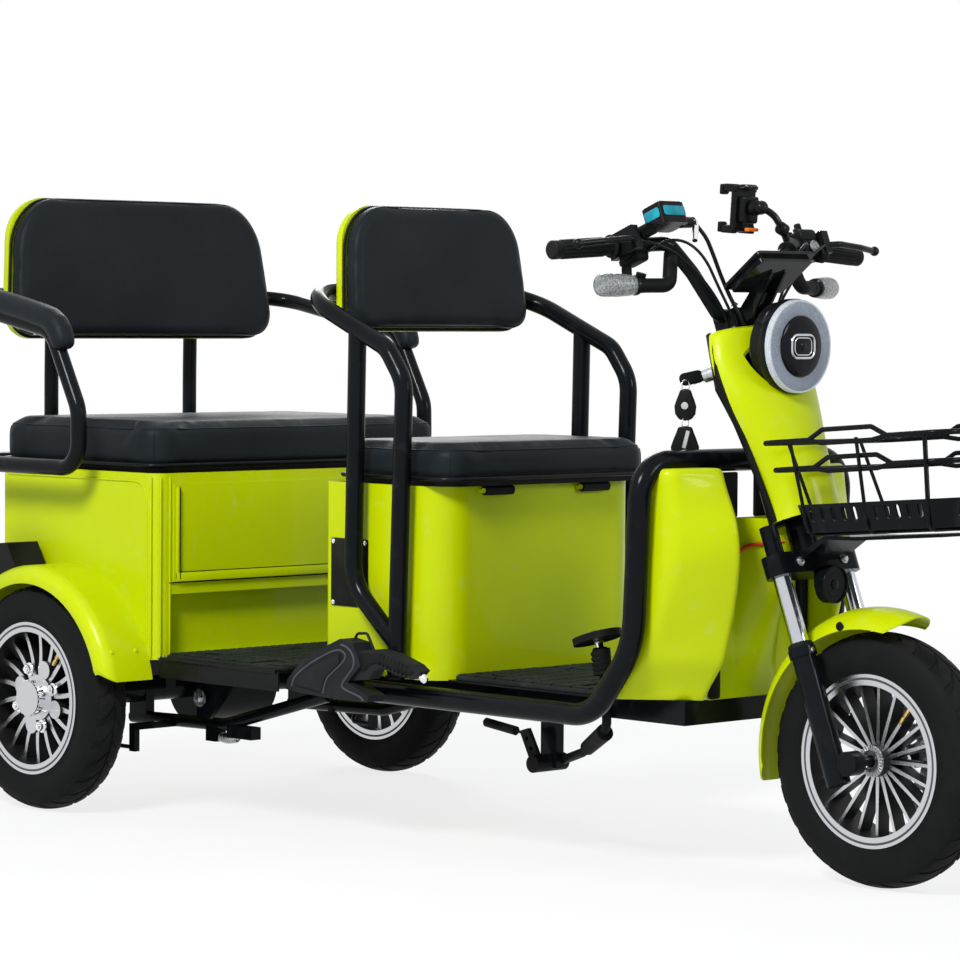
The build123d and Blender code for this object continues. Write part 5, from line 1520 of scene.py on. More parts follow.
@dataclass
class Floors(Assembly):
    """Floor sheets and their ribbed rubber mats."""

    level: float = 0.300
    rear: tuple[float, float, float] = (-0.526, -0.2105, 0.354)
    driver: tuple[float, float, float] = (0.0955, 0.459, 0.221)
    bar: Point = (0.0390, 0.0150, 0.0036)
    row_gap: float = 0.0195
    column_gap: float = 0.0445

    def bars(self, low_x: float, high_x: float, half: float, skip: Test) -> bpy.types.Object:
        """Columns of small raised bars over a mat, left out where a test says so."""
        one = brick(self.bar, 0.0011, 1)
        moves = []
        columns = int((high_x - low_x) / self.column_gap)
        rows = int(2 * half / self.row_gap)
        for column in range(columns):
            x = low_x + (column + 0.5) * (high_x - low_x) / columns
            for row in range(rows):
                y = -half + (row + 0.5) * 2 * half / rows
                where = Vector((x, y, self.level + self.bar[2] / 2 - 0.0004))
                if not skip(where):
                    moves.append(Matrix.Translation(where))
        return copies(one, moves)

    def studs(self, places: Sequence[tuple[float, float]]) -> bpy.types.Object:
        """Round push pins that hold a mat down."""
        pin = lathe([
            (0.0135, 0.0), (0.0135, 0.0022), (0.0120, 0.0034), (0.0085, 0.0034), (0.0080, 0.0024),
            (0.0040, 0.0024),
            (0.0036, 0.0036), (0.0014, 0.0040),
        ], 28)
        return copies(pin, [at(x, y, self.level - 0.0004) for x, y in places])

    def sheet(self, low_x: float, high_x: float, half: float,
            slot_x: tuple[float, float] | None) -> bpy.types.Object:
        """A mat's own sheet with round corners and a raised border, notched for the pedal's arm."""
        middle = (low_x + high_x) / 2
        outline = [(x + middle, y) for x, y in round_rectangle(high_x - low_x, 2 * half, 0.022, 6)]
        piece = place(slab(outline, 0.0068, 0.0016), at(0, 0, self.level - 0.0068))
        if slot_x:
            cutter = place(brick((slot_x[1] - slot_x[0], 0.040, 0.05), 0.004),
                           at((slot_x[0] + slot_x[1]) / 2, -0.175, self.level))
            modify(piece, "BOOLEAN", operation="DIFFERENCE", object=cutter, solver="EXACT")
            bpy.data.objects.remove(cutter)
        border = [(x * 0.985 + middle, y * 0.985, self.level) for x, y in round_rectangle(high_x - low_x,
            2 * half, 0.020, 6)]
        return merged([piece, rod(border, 0.0018, 3, 2, True)])

    def build(self) -> None:
        """Builds both mats as one piece for the CAD node, and dresses the sheets under them."""
        studs_rear = [(x, y) for x in (-0.475, -0.262) for y in (-0.318, -0.106, 0.106, 0.318)]
        studs_driver = [(x, y) for x in (0.140, 0.415) for y in (-0.190, 0.0, 0.190)]
        pins = studs_rear + studs_driver

        def taken(where: Vector) -> bool:
            """True near a pin or the pedal's notch."""
            near_pin = any(math.hypot(where.x - x, where.y - y) < 0.026 for x, y in pins)
            slot = 0.368 < where.x < 0.462 and -0.203 < where.y < -0.147
            return near_pin or slot

        made = [
            self.sheet(-0.530, -0.2065, 0.358, None),
            self.sheet(0.0915, 0.463, 0.225, (0.392, 0.440)),
            self.bars(self.rear[0], self.rear[1], self.rear[2] - 0.006, taken),
            self.bars(self.driver[0], self.driver[1], self.driver[2] - 0.006, taken),
            self.studs(pins),
        ]
        self.add(merged(made), "floor_mats_ribbed", Body.CHASSIS, Slot.MAT, "mat_rubber_sheet", 40,
            ["floor_mats"])
        lips = []
        for side in (1, -1):
            lips.append(rod([(-0.530, side * 0.3615, 0.2925), (-0.37, side * 0.3615, 0.2925),
                             (-0.210, side * 0.3615, 0.2925)], 0.0042, 3, 3))
        self.add(merged(lips), "rear_floor_edges", Body.CHASSIS, Slot.PLASTIC, "satin_moulding", 60)
        self.paint("satin_moulding", "floor_sheets")


@dataclass
class Shield(Assembly):
    """Leg shield: pods, centre panel, neck cover and the tubes round them."""

    def section(self, z: float) -> list[tuple[float, float]]:
        """A pod's four corners at one height, eased between its levels, from the back inner one round."""
        levels = (
            (0.291, (-0.078, 0.120), (-0.100, 0.2255), (-0.072, 0.2265), (0.046, 0.126)),
            (0.360, (-0.024, 0.120), (-0.044, 0.2275), (-0.010, 0.2265), (0.088, 0.126)),
            (0.500, (0.021, 0.120), (-0.010, 0.2290), (0.040, 0.2265), (0.118, 0.126)),
            (0.580, (0.021, 0.120), (-0.010, 0.2290), (0.044, 0.2240), (0.112, 0.124)),
            (0.672, (0.021, 0.112), (-0.008, 0.2290), (0.040, 0.2200), (0.066, 0.112)),
        )
        place_up = max(levels[0][0], min(levels[-1][0], z))
        index = max(n for n, level in enumerate(levels[:-1]) if place_up >= level[0])
        share = (place_up - levels[index][0]) / (levels[index + 1][0] - levels[index][0])
        before, after = levels[max(0, index - 1)], levels[min(len(levels) - 1, index + 2)]
        made = []
        for corner in range(1, 5):
            point = []
            for axis in (0, 1):
                p0, p1, p2, p3 = (level[corner][axis] for level in (before, levels[index], levels[index + 1],
                    after))
                point.append(0.5 * (
                    2 * p1 + (p2 - p0) * share + (2 * p0 - 5 * p1 + 4 * p2 - p3) * share ** 2
                    + (3 * p1 - p0 - 3 * p2 + p3) * share ** 3
                ))
            made.append((HOOP_X + point[0], point[1]))
        return made

    def ring(self, z: float, inset: float) -> list[tuple[float, float]]:
        """A pod's section with soft corners, drawn in by an inset."""
        corners = self.section(z)
        middle_x = sum(x for x, _ in corners) / 4
        middle_y = sum(y for _, y in corners) / 4
        reaches = (0.010, 0.008, 0.034, 0.022)
        points = []
        for index, (x, y) in enumerate(corners):
            before, after = Vector(corners[index - 1]), Vector(corners[(index + 1) % 4])
            here = Vector((x, y))
            reach = min(reaches[index], (before - here).length * 0.45, (after - here).length * 0.45)
            start = here + (before - here).normalized() * reach
            end = here + (after - here).normalized() * reach
            for step in range(7):
                share = step / 6
                spot = start * (1 - share) ** 2 + here * 2 * share * (1 - share) + end * share ** 2
                away = Vector((spot.x - middle_x, spot.y - middle_y))
                spot = Vector((middle_x, middle_y)) + away * max(0.1, 1 - inset / max(away.length, 0.001))
                points.append((spot.x, spot.y))
        return points

    def pods(self) -> None:
        """Both moulded pods, swelling forward at knee height, with a rolled top."""
        heights = [0.291 + 0.373 * step / 34 for step in range(35)]
        stations = [(0.291, 0.003), (0.2935, 0.0)] + [(z, 0.0) for z in heights[1:]]
        stations += [(0.669, 0.0016), (0.6725, 0.005), (0.6740, 0.010)]
        made = []
        for side in (-1, 1):
            deselect()
            first = self.ring(*stations[0])
            bpy.ops.mesh.primitive_circle_add(vertices=len(first), radius=1, fill_type="NGON")
            piece = bpy.context.object
            with editing(piece, "FACE", True):
                for _ in stations[1:]:
                    bpy.ops.mesh.extrude_region_move(TRANSFORM_OT_translate={"value": (0, 0, 1)})
            count = len(first)
            for index, (z, inset) in enumerate(stations):
                ring = self.ring(z, inset)
                for vertex, (x, y) in zip(piece.data.vertices[index * count:(index + 1) * count], ring):
                    vertex.co = (x, side * y, z)
            with editing(piece, "FACE", True):
                bpy.ops.mesh.normals_make_consistent(inside=False)
            made.append(piece)
        self.add(merged(made), "leg_shield_pods_moulded", Body.CHASSIS, Slot.LIME, "lime_gloss", 50,
                 ["leg_shield_pods"])

    def fairing(self) -> None:
        """A moulded ridge on the centre panel, over the neck tube that comes through it."""
        deselect()
        bpy.ops.mesh.primitive_grid_add(x_subdivisions=24, y_subdivisions=24, size=1)
        piece = bpy.context.object
        for vertex in piece.data.vertices:
            z = 0.292 + (vertex.co.y + 0.5) * 0.298
            y = vertex.co.x * 0.104
            ridge = max(0.006, 0.567 + (z - 0.314) * 0.3399 + 0.030 - 0.593)
            swell = max(0.0, 1 - (abs(y) / 0.052) ** 2.2)
            vertex.co = (0.5925 + ridge * swell, y, z)
        modify(piece, "SOLIDIFY", thickness=0.002, offset=-1.0)
        with editing(piece, "FACE", True):
            bpy.ops.mesh.normals_make_consistent(inside=False)
        self.add(piece, "neck_fairing", Body.CHASSIS, Slot.LIME, "lime_gloss", 60)
        # Black strips in the gaps beside the centre panel and under the neck: partly a black liner, partly
        # painted shade in those gaps.
        liner_and_gap_shade = []
        for side in (-1, 1):
            liner_and_gap_shade.append(place(brick((0.012, 0.022, 0.300), 0.004, 2), at(0.598, side * 0.1085, 0.442)))
            liner_and_gap_shade.append(place(brick((0.008, 0.088, 0.076), 0.003, 2), at(0.566, side * 0.066, 0.626)))
        self.add(merged(liner_and_gap_shade), "shield_liner", Body.CHASSIS, Slot.PLASTIC, "black_moulding")

    def wire(self) -> None:
        """A short red lead that shows behind the fork, from the panel into the neck."""
        lead = rod([(0.5930, -0.060, 0.520), (0.606, -0.056, 0.540), (0.630, -0.044, 0.548),
            (0.652, -0.030, 0.546),
                    (0.668, -0.016, 0.552)], 0.0030, 3, 3)
        self.add(lead, "red_lead", Body.CHASSIS, Slot.PLASTIC, "red_sleeve", 60)

    def rail_clamps(self) -> None:
        """Weld beads where the guard meets the rails."""
        made = []
        for side in (1, -1):
            for x, z, radius, y in ((0.012, 0.2935, 0.0180, 0.280),):
                ring = lathe([(radius - 0.002, 0), (radius + 0.0016, 0.0008), (radius + 0.002, 0.0030),
                              (radius, 0.0052), (radius - 0.002, 0.0058), (radius - 0.002, 0)], 32, ring=True)
                made.append(place(ring, at(x, side * y, z)))
        self.add(merged(made), "guard_weld_beads", Body.CHASSIS, Slot.ENAMEL, "black_enamel", 60)

    def build(self) -> None:
        """Dresses the shield and its tubes."""
        self.paint("lime_gloss", "leg_shield_panel")
        # The neck cover is black: partly its own black plastic, partly painted shade of the hollow round the
        # neck.
        self.paint("satin_moulding", "neck_cover")
        self.paint("black_enamel", "leg_shield_hoop", "driver_guard", "chassis_frame", "rear_subframe")
        self.paint("black_enamel", "rear_axle")
        self.pods()
        self.fairing()
        self.rail_clamps()
        self.wire()


@dataclass
class Undercarriage(Assembly):
    """The spring, pivot bolts, brake lever and pedal under the floor."""

    def pivot_bolts(self) -> None:
        """Silver-ringed bolts at the subframe's pivots."""
        made = []
        for side in (-1, 1):
            head = merged([
                lathe([(0.0165, 0), (0.0165, 0.0022), (0.0120, 0.0030), (0.0100, 0.0030)], 36),
                place(bolt(0.0085, 0.0055), at(0, 0, 0.0028)),
            ])
            made.append(place(head, at(-0.532, side * 0.2665, 0.215),
                              Matrix.Rotation(math.radians(90 if side < 0 else -90), 4, "X")))
        self.add(merged(made), "pivot_bolts", Body.CHASSIS, Slot.STEEL, "zinc_plate")

    def spring(self) -> None:
        """The small return spring between two blocks under the right side."""
        turns, radius, wire, start, end = 11, 0.0085, 0.0013, -0.560, -0.505
        points = []
        for step in range(turns * 10 + 1):
            angle = 2 * math.pi * step / 10
            x = start + (end - start) * step / (turns * 10)
            sag = -0.004 * math.sin(math.pi * step / (turns * 10))
            points.append((x, -0.200 + radius * math.cos(angle), 0.139 + sag + radius * math.sin(angle)))
        self.add(rod(points, wire, 3, 2), "return_spring", Body.CHASSIS, Slot.STEEL, "zinc_plate", 60)

    def pedal_boot(self) -> None:
        """The ribbed boot round the pedal's arm and the stud through its pad."""
        lean = spun(-18, "Y")
        rings = [(0.0150, 0.0)]
        for step in range(5):
            level = 0.0085 * step
            rings += [(0.0172, level + 0.0016), (0.0172, level + 0.0050), (0.0150, level + 0.0066)]
        rings += [(0.0115, 0.047)]
        boot = place(lathe(rings, 32), at(0.4085, -0.175, 0.3215), spun(-10, "Y"))
        self.add(boot, "pedal_boot", Body.CHASSIS, Slot.GRIP, "grip_rubber_soft", 50)
        stud = place(lathe([
            (0.0056, -0.0200), (0.0056, -0.0110), (0.0088, -0.0105), (0.0088, -0.0068), (0.0052, -0.0062),
        ], 24), at(0.394, -0.175, 0.384), lean)
        tip = place(bolt(0.0055, 0.0045, 0.0072), at(0.394, -0.175, 0.384), lean, at(0, 0, 0.0058))
        self.add(merged([stud, tip]), "pedal_stud", Body.CHASSIS, Slot.STEEL, "chrome_plate")
        rib = place(brick((0.064, 0.0022, 0.0016), 0.0006, 1), at(0, 0, 0.0064))
        ribs = copies(rib, [
            at(0.394, -0.175, 0.384) @ lean @ at(0, y, 0) @ Matrix.Scale(
                math.sqrt(max(0.05, 1 - (y / 0.038) ** 2)) * 1.2, 4, (1, 0, 0))
            for y in (-0.028, -0.0205, 0.0205, 0.028)
        ])
        self.add(ribs, "pedal_ribs", Body.CHASSIS, Slot.GRIP, "grip_rubber_soft")

    def lever_trim(self) -> None:
        """The raised ridge round the parking brake's cover, and the lever's button."""
        face = -0.3442
        lines = (
            ((-0.188, 0.268), (-0.186, 0.282), (-0.150, 0.306), (-0.118, 0.322), (-0.070, 0.3425),
                (-0.046, 0.336),
             (-0.050, 0.322), (-0.082, 0.300), (-0.100, 0.286), (-0.106, 0.262)),
            ((-0.060, 0.350), (-0.037, 0.348), (-0.020, 0.318), (-0.050, 0.290), (-0.060, 0.276),
                (-0.030, 0.268),
             (-0.004, 0.262), (-0.002, 0.2565)),
        )
        ridges = [rod([(x, face, z) for x, z in line], 0.0021, 3, 2) for line in lines]
        self.add(merged(ridges), "brake_cover_ridges", Body.CHASSIS, Slot.PLASTIC, "pale_moulding", 60)
        swell = slab([(-0.178, 0.272), (-0.106, 0.264), (-0.098, 0.290), (-0.060, 0.318), (-0.062, 0.334),
                      (-0.116, 0.314), (-0.150, 0.298), (-0.176, 0.280)], 0.005, 0.0018)
        place(swell, at(0, face + 0.0008, 0), ALONG_Y)
        self.add(swell, "brake_cover_panel", Body.CHASSIS, Slot.PLASTIC, "grey_moulding")
        grip = place(slab([
            (-0.024, 0.324), (-0.022, 0.338), (0.024, 0.3435), (0.066, 0.3375), (0.112, 0.3245),
            (0.126, 0.3165),
            (0.112, 0.3060), (0.072, 0.3110), (0.034, 0.3215), (0.012, 0.318), (-0.004, 0.306),
            (-0.020, 0.304),
        ], 0.033, 0.0090, 4), at(0, -0.3075, 0), ALONG_Y)
        ribs = copies(place(brick((0.0024, 0.034, 0.020), 0.0009, 1), at(0, 0, 0)), [
            at(0.034 + 0.0095 * step, -0.324, 0.3305 - 0.0022 * step) @ spun(12, "Y") for step in range(8)
        ])
        self.add(merged([grip, ribs]), "brake_lever_grip", Body.CHASSIS, Slot.GRIP, "grip_rubber_soft")
        button = place(lathe([
            (0.0068, 0.0), (0.0072, 0.0020), (0.0072, 0.0120), (0.0060, 0.0150), (0.0030, 0.0160),
        ], 28), at(0.1215, -0.324, 0.3100), spun(128, "Y"))
        self.add(button, "brake_lever_button", Body.CHASSIS, Slot.STEEL, "chrome_plate")

    def build(self) -> None:
        """Dresses the levers and builds the small parts."""
        self.paint("grey_moulding", "parking_brake")
        self.paint("black_moulding", "brake_pedal")
        self.pivot_bolts()
        self.spring()
        self.pedal_boot()
        self.lever_trim()


# ---------------------------------------------------------------- front end
@dataclass
class Fork(Assembly):
    """Fork: bright tubes in black sliders, caliper, horn and their bolts."""

    side: float = 0.080

    def tubes(self) -> None:
        """Hard-chromed tubes over the CAD ones, with a wiper at each slider."""
        bright, wipers = [], []
        for side in (1, -1):
            bright.append(place(lathe([(0.0153, 0.186), (0.0153, 0.314)], 40), STEERING,
                at(0, side * self.side, 0)))
            ring = lathe([
                (0.0162, 0.188), (0.0200, 0.1885), (0.0212, 0.1905), (0.0212, 0.1950), (0.0196, 0.1985),
                (0.0162, 0.2000),
            ], 40)
            wipers.append(place(ring, STEERING, at(0, side * self.side, 0)))
        self.add(merged(bright), "fork_tube_chrome", Body.STEERING, Slot.STEEL, "polished_tube", 50)
        self.add(merged(wipers), "fork_wipers", Body.STEERING, Slot.GRIP, "grip_rubber_soft", 40)

    def bolts(self) -> None:
        """Pinch bolts in the crown and the axle's nuts."""
        made = []
        for side in (1, -1):
            made.append(place(bolt(0.0065, 0.005, 0.0085), STEERING, at(0.0255, side * 0.055, 0.330),
                ALONG_X))
            made.append(place(bolt(0.0050, 0.004, 0.0065), STEERING, at(0.0200, side * self.side, 0.182),
                ALONG_X))
        self.add(merged(made), "fork_bolts", Body.STEERING, Slot.STEEL, "zinc_plate")

    def horn_face(self) -> None:
        """The horn's rolled rim, its ring of slots and centre boss."""
        rim = lathe([(0.0300, 0.0), (0.0315, 0.0006), (0.0322, 0.0022), (0.0315, 0.0038), (0.0292, 0.0040),
                     (0.0284, 0.0012), (0.0300, 0.0)], 48, ring=True)
        boss = lathe([(0.0085, 0), (0.0080, 0.0026), (0.0050, 0.0036), (0.0015, 0.0038)], 28)
        step = lathe([(0.0190, 0), (0.0198, 0.0012), (0.0206, 0), (0.0190, 0)], 48, ring=True)
        whole = place(merged([rim, boss, step]), at(0.7622, 0, 0.486), ALONG_X)
        self.add(whole, "horn_rim", Body.STEERING, Slot.ENAMEL, "black_enamel", 50)

    def build(self) -> None:
        """Dresses the fork and adds its small parts."""
        self.paint("black_enamel", "fork_crown", "horn")
        self.paint("black_enamel", "fork_legs")
        self.paint("grey_casting", "brake_caliper")
        self.tubes()
        self.bolts()
        self.horn_face()


@dataclass
class HeadShell(Assembly):
    """The lime shell round the steering head, its black back, lock and keys."""

    def band(self) -> None:
        """Dresses the shell and its back, with a black edging down both sides."""
        self.paint("lime_gloss", "head_shell")
        self.paint("satin_moulding", "head_shell_back")
        levels = ((0.4035, 0.0722), (0.430, 0.0752), (0.470, 0.0805), (0.534, 0.0892), (0.590, 0.1010),
                  (0.640, 0.1122), (0.685, 0.1092), (0.716, 0.1025), (0.728, 0.0960))
        made = []
        for side in (-1, 1):
            strip = rod([(0, side * (wide - 0.0012), level) for level, wide in levels], 0.0042, 3, 3)
            for vertex in strip.data.vertices:
                vertex.co.x *= 1.6
            middle = place(strip, at(0.0085, 0, 0))
            made.append(place(middle, STEERING))
        self.add(merged(made), "head_shell_edging", Body.STEERING, Slot.PLASTIC, "black_moulding", 60)

    def fob(self, wide: float, tall: float) -> bpy.types.Object:
        """A moulded key fob, hanging down from its ring hole at the origin."""
        outline = [
            (0.0, 0.003), (wide * 0.24, 0.001), (wide * 0.30, -tall * 0.12), (wide * 0.40, -tall * 0.30),
            (wide * 0.50, -tall * 0.52), (wide * 0.46, -tall * 0.78), (wide * 0.28, -tall * 0.96),
            (0.0, -tall),
            (-wide * 0.28, -tall * 0.96), (-wide * 0.46, -tall * 0.78), (-wide * 0.50, -tall * 0.52),
            (-wide * 0.40, -tall * 0.30), (-wide * 0.30, -tall * 0.12), (-wide * 0.24, 0.001),
        ]
        return place(slab(outline[::-1], 0.009, 0.0028, 3), at(0, 0, -0.0045))

    def keys(self) -> None:
        """The key in the lock, and two fobs on its ring."""
        start = steer(-0.055, -0.078, 0.680)
        blade = place(slab(round_rectangle(0.042, 0.022, 0.0090, 5), 0.0085, 0.0028, 3),
                      at(start.x - 0.006, start.y - 0.016, start.z - 0.002), spun(62, "Z"), spun(-12, "Y"),
                      spun(60, "X"), at(0, 0, -0.004))
        self.add(blade, "key_bow", Body.STEERING, Slot.PLASTIC, "black_moulding")
        ring_low = Vector((start.x, start.y - 0.037, start.z - 0.014))
        rings = []
        for drop, radius in ((0.0, 0.0095), (-0.062, 0.0085)):
            circle = [(ring_low.x + 0.0006 * drop, ring_low.y + radius * math.cos(turn * math.pi / 6),
                       ring_low.z + drop + radius * math.sin(turn * math.pi / 6)) for turn in range(12)]
            rings.append(rod(circle, 0.0011, 3, 2, True))
        self.add(merged(rings), "key_rings", Body.STEERING, Slot.STEEL, "chrome_plate", 60)
        for index, (drop, wide, tall) in enumerate(((-0.0085, 0.037, 0.050), (-0.070, 0.048, 0.062))):
            fob = place(self.fob(wide, tall), at(ring_low.x, ring_low.y, ring_low.z + drop), spun(28, "Z"),
                        spun(90, "X"))
            self.add(fob, f"key_fob_{index}", Body.STEERING, Slot.PLASTIC, "black_moulding")
            if index:
                disc = place(brick((0.0070, 0.030, 0.0014), 0.0005, 1), spun(-14, "Z"), at(0, 0.012, 0.0006))
            else:
                disc = lathe([(0.0062, 0), (0.0060, 0.0008), (0.0030, 0.0011)], 24)
            place(disc, at(ring_low.x, ring_low.y, ring_low.z + drop), spun(28, "Z"), spun(90, "X"),
                  at(0, -tall * 0.5, 0.0044))
            self.add(disc, f"key_disc_{index}", Body.STEERING, Slot.STEEL, "zinc_plate")

    def build(self) -> None:
        """Dresses the shell and hangs the keys."""
        self.band()
        self.paint("zinc_plate", "ignition_lock")
        self.keys()


@dataclass
class Headlight(Assembly):
    """The round headlight: textured ring, dark centre and a framed projector."""

    lens_x: float = 0.684
    radius: float = 0.077
    level: float = 0.874

    def build(self) -> None:
        """Builds the light's layers from the rim inwards."""
        self.paint("satin_moulding", "headlight_bowl")
        self.paint("frosted_ring", "headlight")
        face = at(self.lens_x, 0, self.level) @ ALONG_X
        bezel = lathe([(0.0772, -0.0265), (0.0784, -0.0255), (0.0786, -0.0120), (0.0780, -0.0100),
                       (0.0772, -0.0100), (0.0772, -0.0265)], 96, ring=True)
        self.add(place(bezel, face), "headlight_bezel", Body.STEERING, Slot.PLASTIC, "satin_moulding", 50)
        rim = lathe([(0.0735, 0.0), (0.0762, 0.0004), (0.0770, -0.0020), (0.0772, -0.0060), (0.0778, -0.0120),
                     (0.0740, -0.0120), (0.0735, 0.0)], 96, ring=True)
        self.add(place(rim, face), "headlight_rim", Body.STEERING, Slot.LAMP, "projector_glass", 60)
        rib = place(brick((0.0225, 0.0011, 0.0012), 0.0003, 1), at(0.0622, 0, 0.0002))
        ribs = copies(rib, [spun(3 * step, "Z") for step in range(120)])
        self.add(place(ribs, face), "headlight_ring_prisms", Body.STEERING, Slot.LAMP, "frosted_ring", 60)
        dark = lathe([(0.0512, -0.0008), (0.0506, 0.0014), (0.0480, 0.0026), (0.0300, 0.0046),
            (0.0120, 0.0054),
                      (0.0, 0.0056)], 72)
        self.add(place(dark, face), "headlight_dark_lens", Body.STEERING, Slot.LAMP, "dark_lens", 60)
        outline = round_rectangle(0.038, 0.056, 0.013, 6)
        frame = [(x, y, 0.0056) for x, y in outline]
        inner = [(x * 0.74, y * 0.74, 0.0058) for x, y in outline]
        self.add(place(merged([rod(frame, 0.0022, 3, 3, True), rod(inner, 0.0012, 3, 3, True)]), face),
                 "projector_frame", Body.STEERING, Slot.LAMP, "polished_tube", 60)
        lens = slab(round_rectangle(0.027, 0.044, 0.010, 6), 0.0022, 0.0009)
        self.add(place(lens, face, at(0, 0, 0.0042)), "projector_lens", Body.STEERING, Slot.LAMP, "dark_lens")
        eye = lathe([(0.0072, 0), (0.0068, 0.0012), (0.0040, 0.0022), (0.0, 0.0025)], 28)
        self.add(place(eye, face, at(0, 0, 0.0058)), "projector_eye", Body.STEERING, Slot.LAMP, "dark_lens")


@dataclass
class Controls(Assembly):
    """Handlebar controls: grips, levers, switches, fluid tank, display and signals."""

    grip_from: float = 0.250
    grip_to: float = 0.383

    def grips(self) -> None:
        """Ribbed rubber grips with a flange and a rounded end."""
        made = []
        for side in (1, -1):
            direction = (steer(-0.028, side * 0.378, 0.890) - steer(-0.015, side * 0.230, 0.895)).normalized()
            origin = steer(-0.0168, side * self.grip_from, 0.8943)
            length = self.grip_to - self.grip_from
            rings = [(0.0192, 0.0), (0.0192, 0.004), (0.0150, 0.006)]
            for step in range(24):
                level = 0.010 + step * (length - 0.026) / 24
                rings += [(0.0150, level), (0.0146, level + 0.0014), (0.0146, level + 0.0024),
                    (0.0150, level + 0.0036)]
            rings += [(0.0155, length - 0.013), (0.0155, length - 0.003), (0.0125, length),
                (0.0060, length + 0.0002)]
            body = lathe(rings, 40)
            flutes = copies(place(brick((0.0022, 0.0030, length - 0.040), 0.0008, 1),
                at(0.0149, 0, length / 2)),
                            [spun(22.5 * step, "Z") for step in range(16)])
            turn = aimed(direction)
            made.append(place(merged([body, flutes]), Matrix.Translation(origin), turn))
        self.add(merged(made), "grips_ribbed", Body.STEERING, Slot.GRIP, "grip_rubber_soft", 40, ["grips"])

    def tank(self) -> None:
        """The brake fluid tank's mirrored lid, its screws and the hose's banjo."""
        lid = place(slab(round_rectangle(0.042, 0.056, 0.007, 4), 0.006, 0.002, 3), STEERING,
            at(0.042, -0.171, 0.9385))
        self.add(lid, "tank_lid", Body.STEERING, Slot.PLASTIC, "satin_moulding")
        window = slab(round_rectangle(0.050, 0.017, 0.004, 4), 0.0016, 0.0006)
        place(window, STEERING, at(0.0648, -0.171, 0.9265), ALONG_X, spun(90, "Z"))
        self.add(window, "tank_window", Body.STEERING, Slot.LAMP, "blue_mirror")
        side = slab(round_rectangle(0.034, 0.017, 0.004, 4), 0.0012, 0.0005)
        place(side, STEERING, at(0.042, -0.2008, 0.9265), ALONG_Y)
        self.add(side, "tank_side_window", Body.STEERING, Slot.LAMP, "blue_mirror")
        screws = copies(bolt(0.0032, 0.0016), [
            STEERING @ at(0.042 + dx, -0.171 + dy, 0.9443) for dx in (-0.015, 0.015) for dy in (-0.022, 0.022)
        ])
        self.add(screws, "tank_screws", Body.STEERING, Slot.STEEL, "zinc_plate")
        banjo = merged([
            place(bolt(0.0075, 0.008, 0.0095), STEERING, at(0.046, -0.113, 0.914), spun(-90, "X")),
            place(lathe([(0.0058, 0), (0.0058, 0.016), (0.0046, 0.020), (0.0046, 0.034)], 20), STEERING,
                  at(0.0465, -0.108, 0.909), spun(150, "X"), spun(8, "Y")),
        ])
        self.add(banjo, "hose_banjo", Body.STEERING, Slot.STEEL, "chrome_plate")

    def buttons(self) -> None:
        """Toggles and buttons on both switch blocks."""
        made = []
        for x, y, z, wide in ((-0.012, 0.194, 0.9225, 0.012), (0.006, 0.194, 0.9225, 0.010),
            (-0.006, 0.214, 0.9225, 0.009)):
            made.append(place(brick((0.009, wide, 0.007), 0.002, 2), STEERING, at(x, y, z)))
        for x, z in ((-0.0225, 0.908), (-0.0225, 0.890)):
            made.append(place(brick((0.006, 0.016, 0.010), 0.002, 2), STEERING, at(x, 0.206, z)))
        for x, z in ((-0.0405, 0.895), (-0.0405, 0.874)):
            made.append(place(brick((0.006, 0.014, 0.010), 0.002, 2), STEERING, at(x, -0.208, z)))
        made.append(place(lathe([(0.0075, 0), (0.0070, 0.010), (0.0050, 0.0125)], 24), STEERING,
            at(-0.012, -0.210, 0.907)))
        self.add(merged(made), "switch_buttons", Body.STEERING, Slot.PLASTIC, "grey_moulding")
        ring = lathe([(0.0105, 0), (0.0105, 0.002), (0.0090, 0.003), (0.0085, 0.0018), (0.0, 0.0018)], 32)
        place(ring, STEERING, at(0.0262, 0.205, 0.886), ALONG_X)
        self.add(ring, "pass_button", Body.STEERING, Slot.LAMP, "clear_prisms")

    def clamp(self) -> None:
        """Chrome bolts through the bar's clamp and both lever perches."""
        head = bolt(0.0048, 0.004, 0.0062)
        spots = [(0.010, y, 0.7830) for y in (-0.022, 0.022)] + [(-0.030, y, 0.7830) for y in (-0.022, 0.022)]
        made = [STEERING @ at(*spot) for spot in spots]
        made += [STEERING @ at(0.0215, side * 0.236, 0.9135) for side in (-1, 1)]
        self.add(copies(head, made), "bar_bolts", Body.STEERING, Slot.STEEL, "chrome_plate")

    def display(self) -> None:
        """The display's glass with a raised rim."""
        plane = STEERING @ at(0.082, 0, 0.8176) @ spun(-16.6, "Y")
        self.paint("screen_glass", "display")
        edge = [(x, y, 0.0005) for x, y in round_rectangle(0.096, 0.138, 0.006, 4)]
        rim = rod([(x, y, z) for x, y, z in edge], 0.0014, 3, 2, True)
        self.add(place(rim, plane), "display_rim", Body.STEERING, Slot.PLASTIC, "satin_moulding", 60)

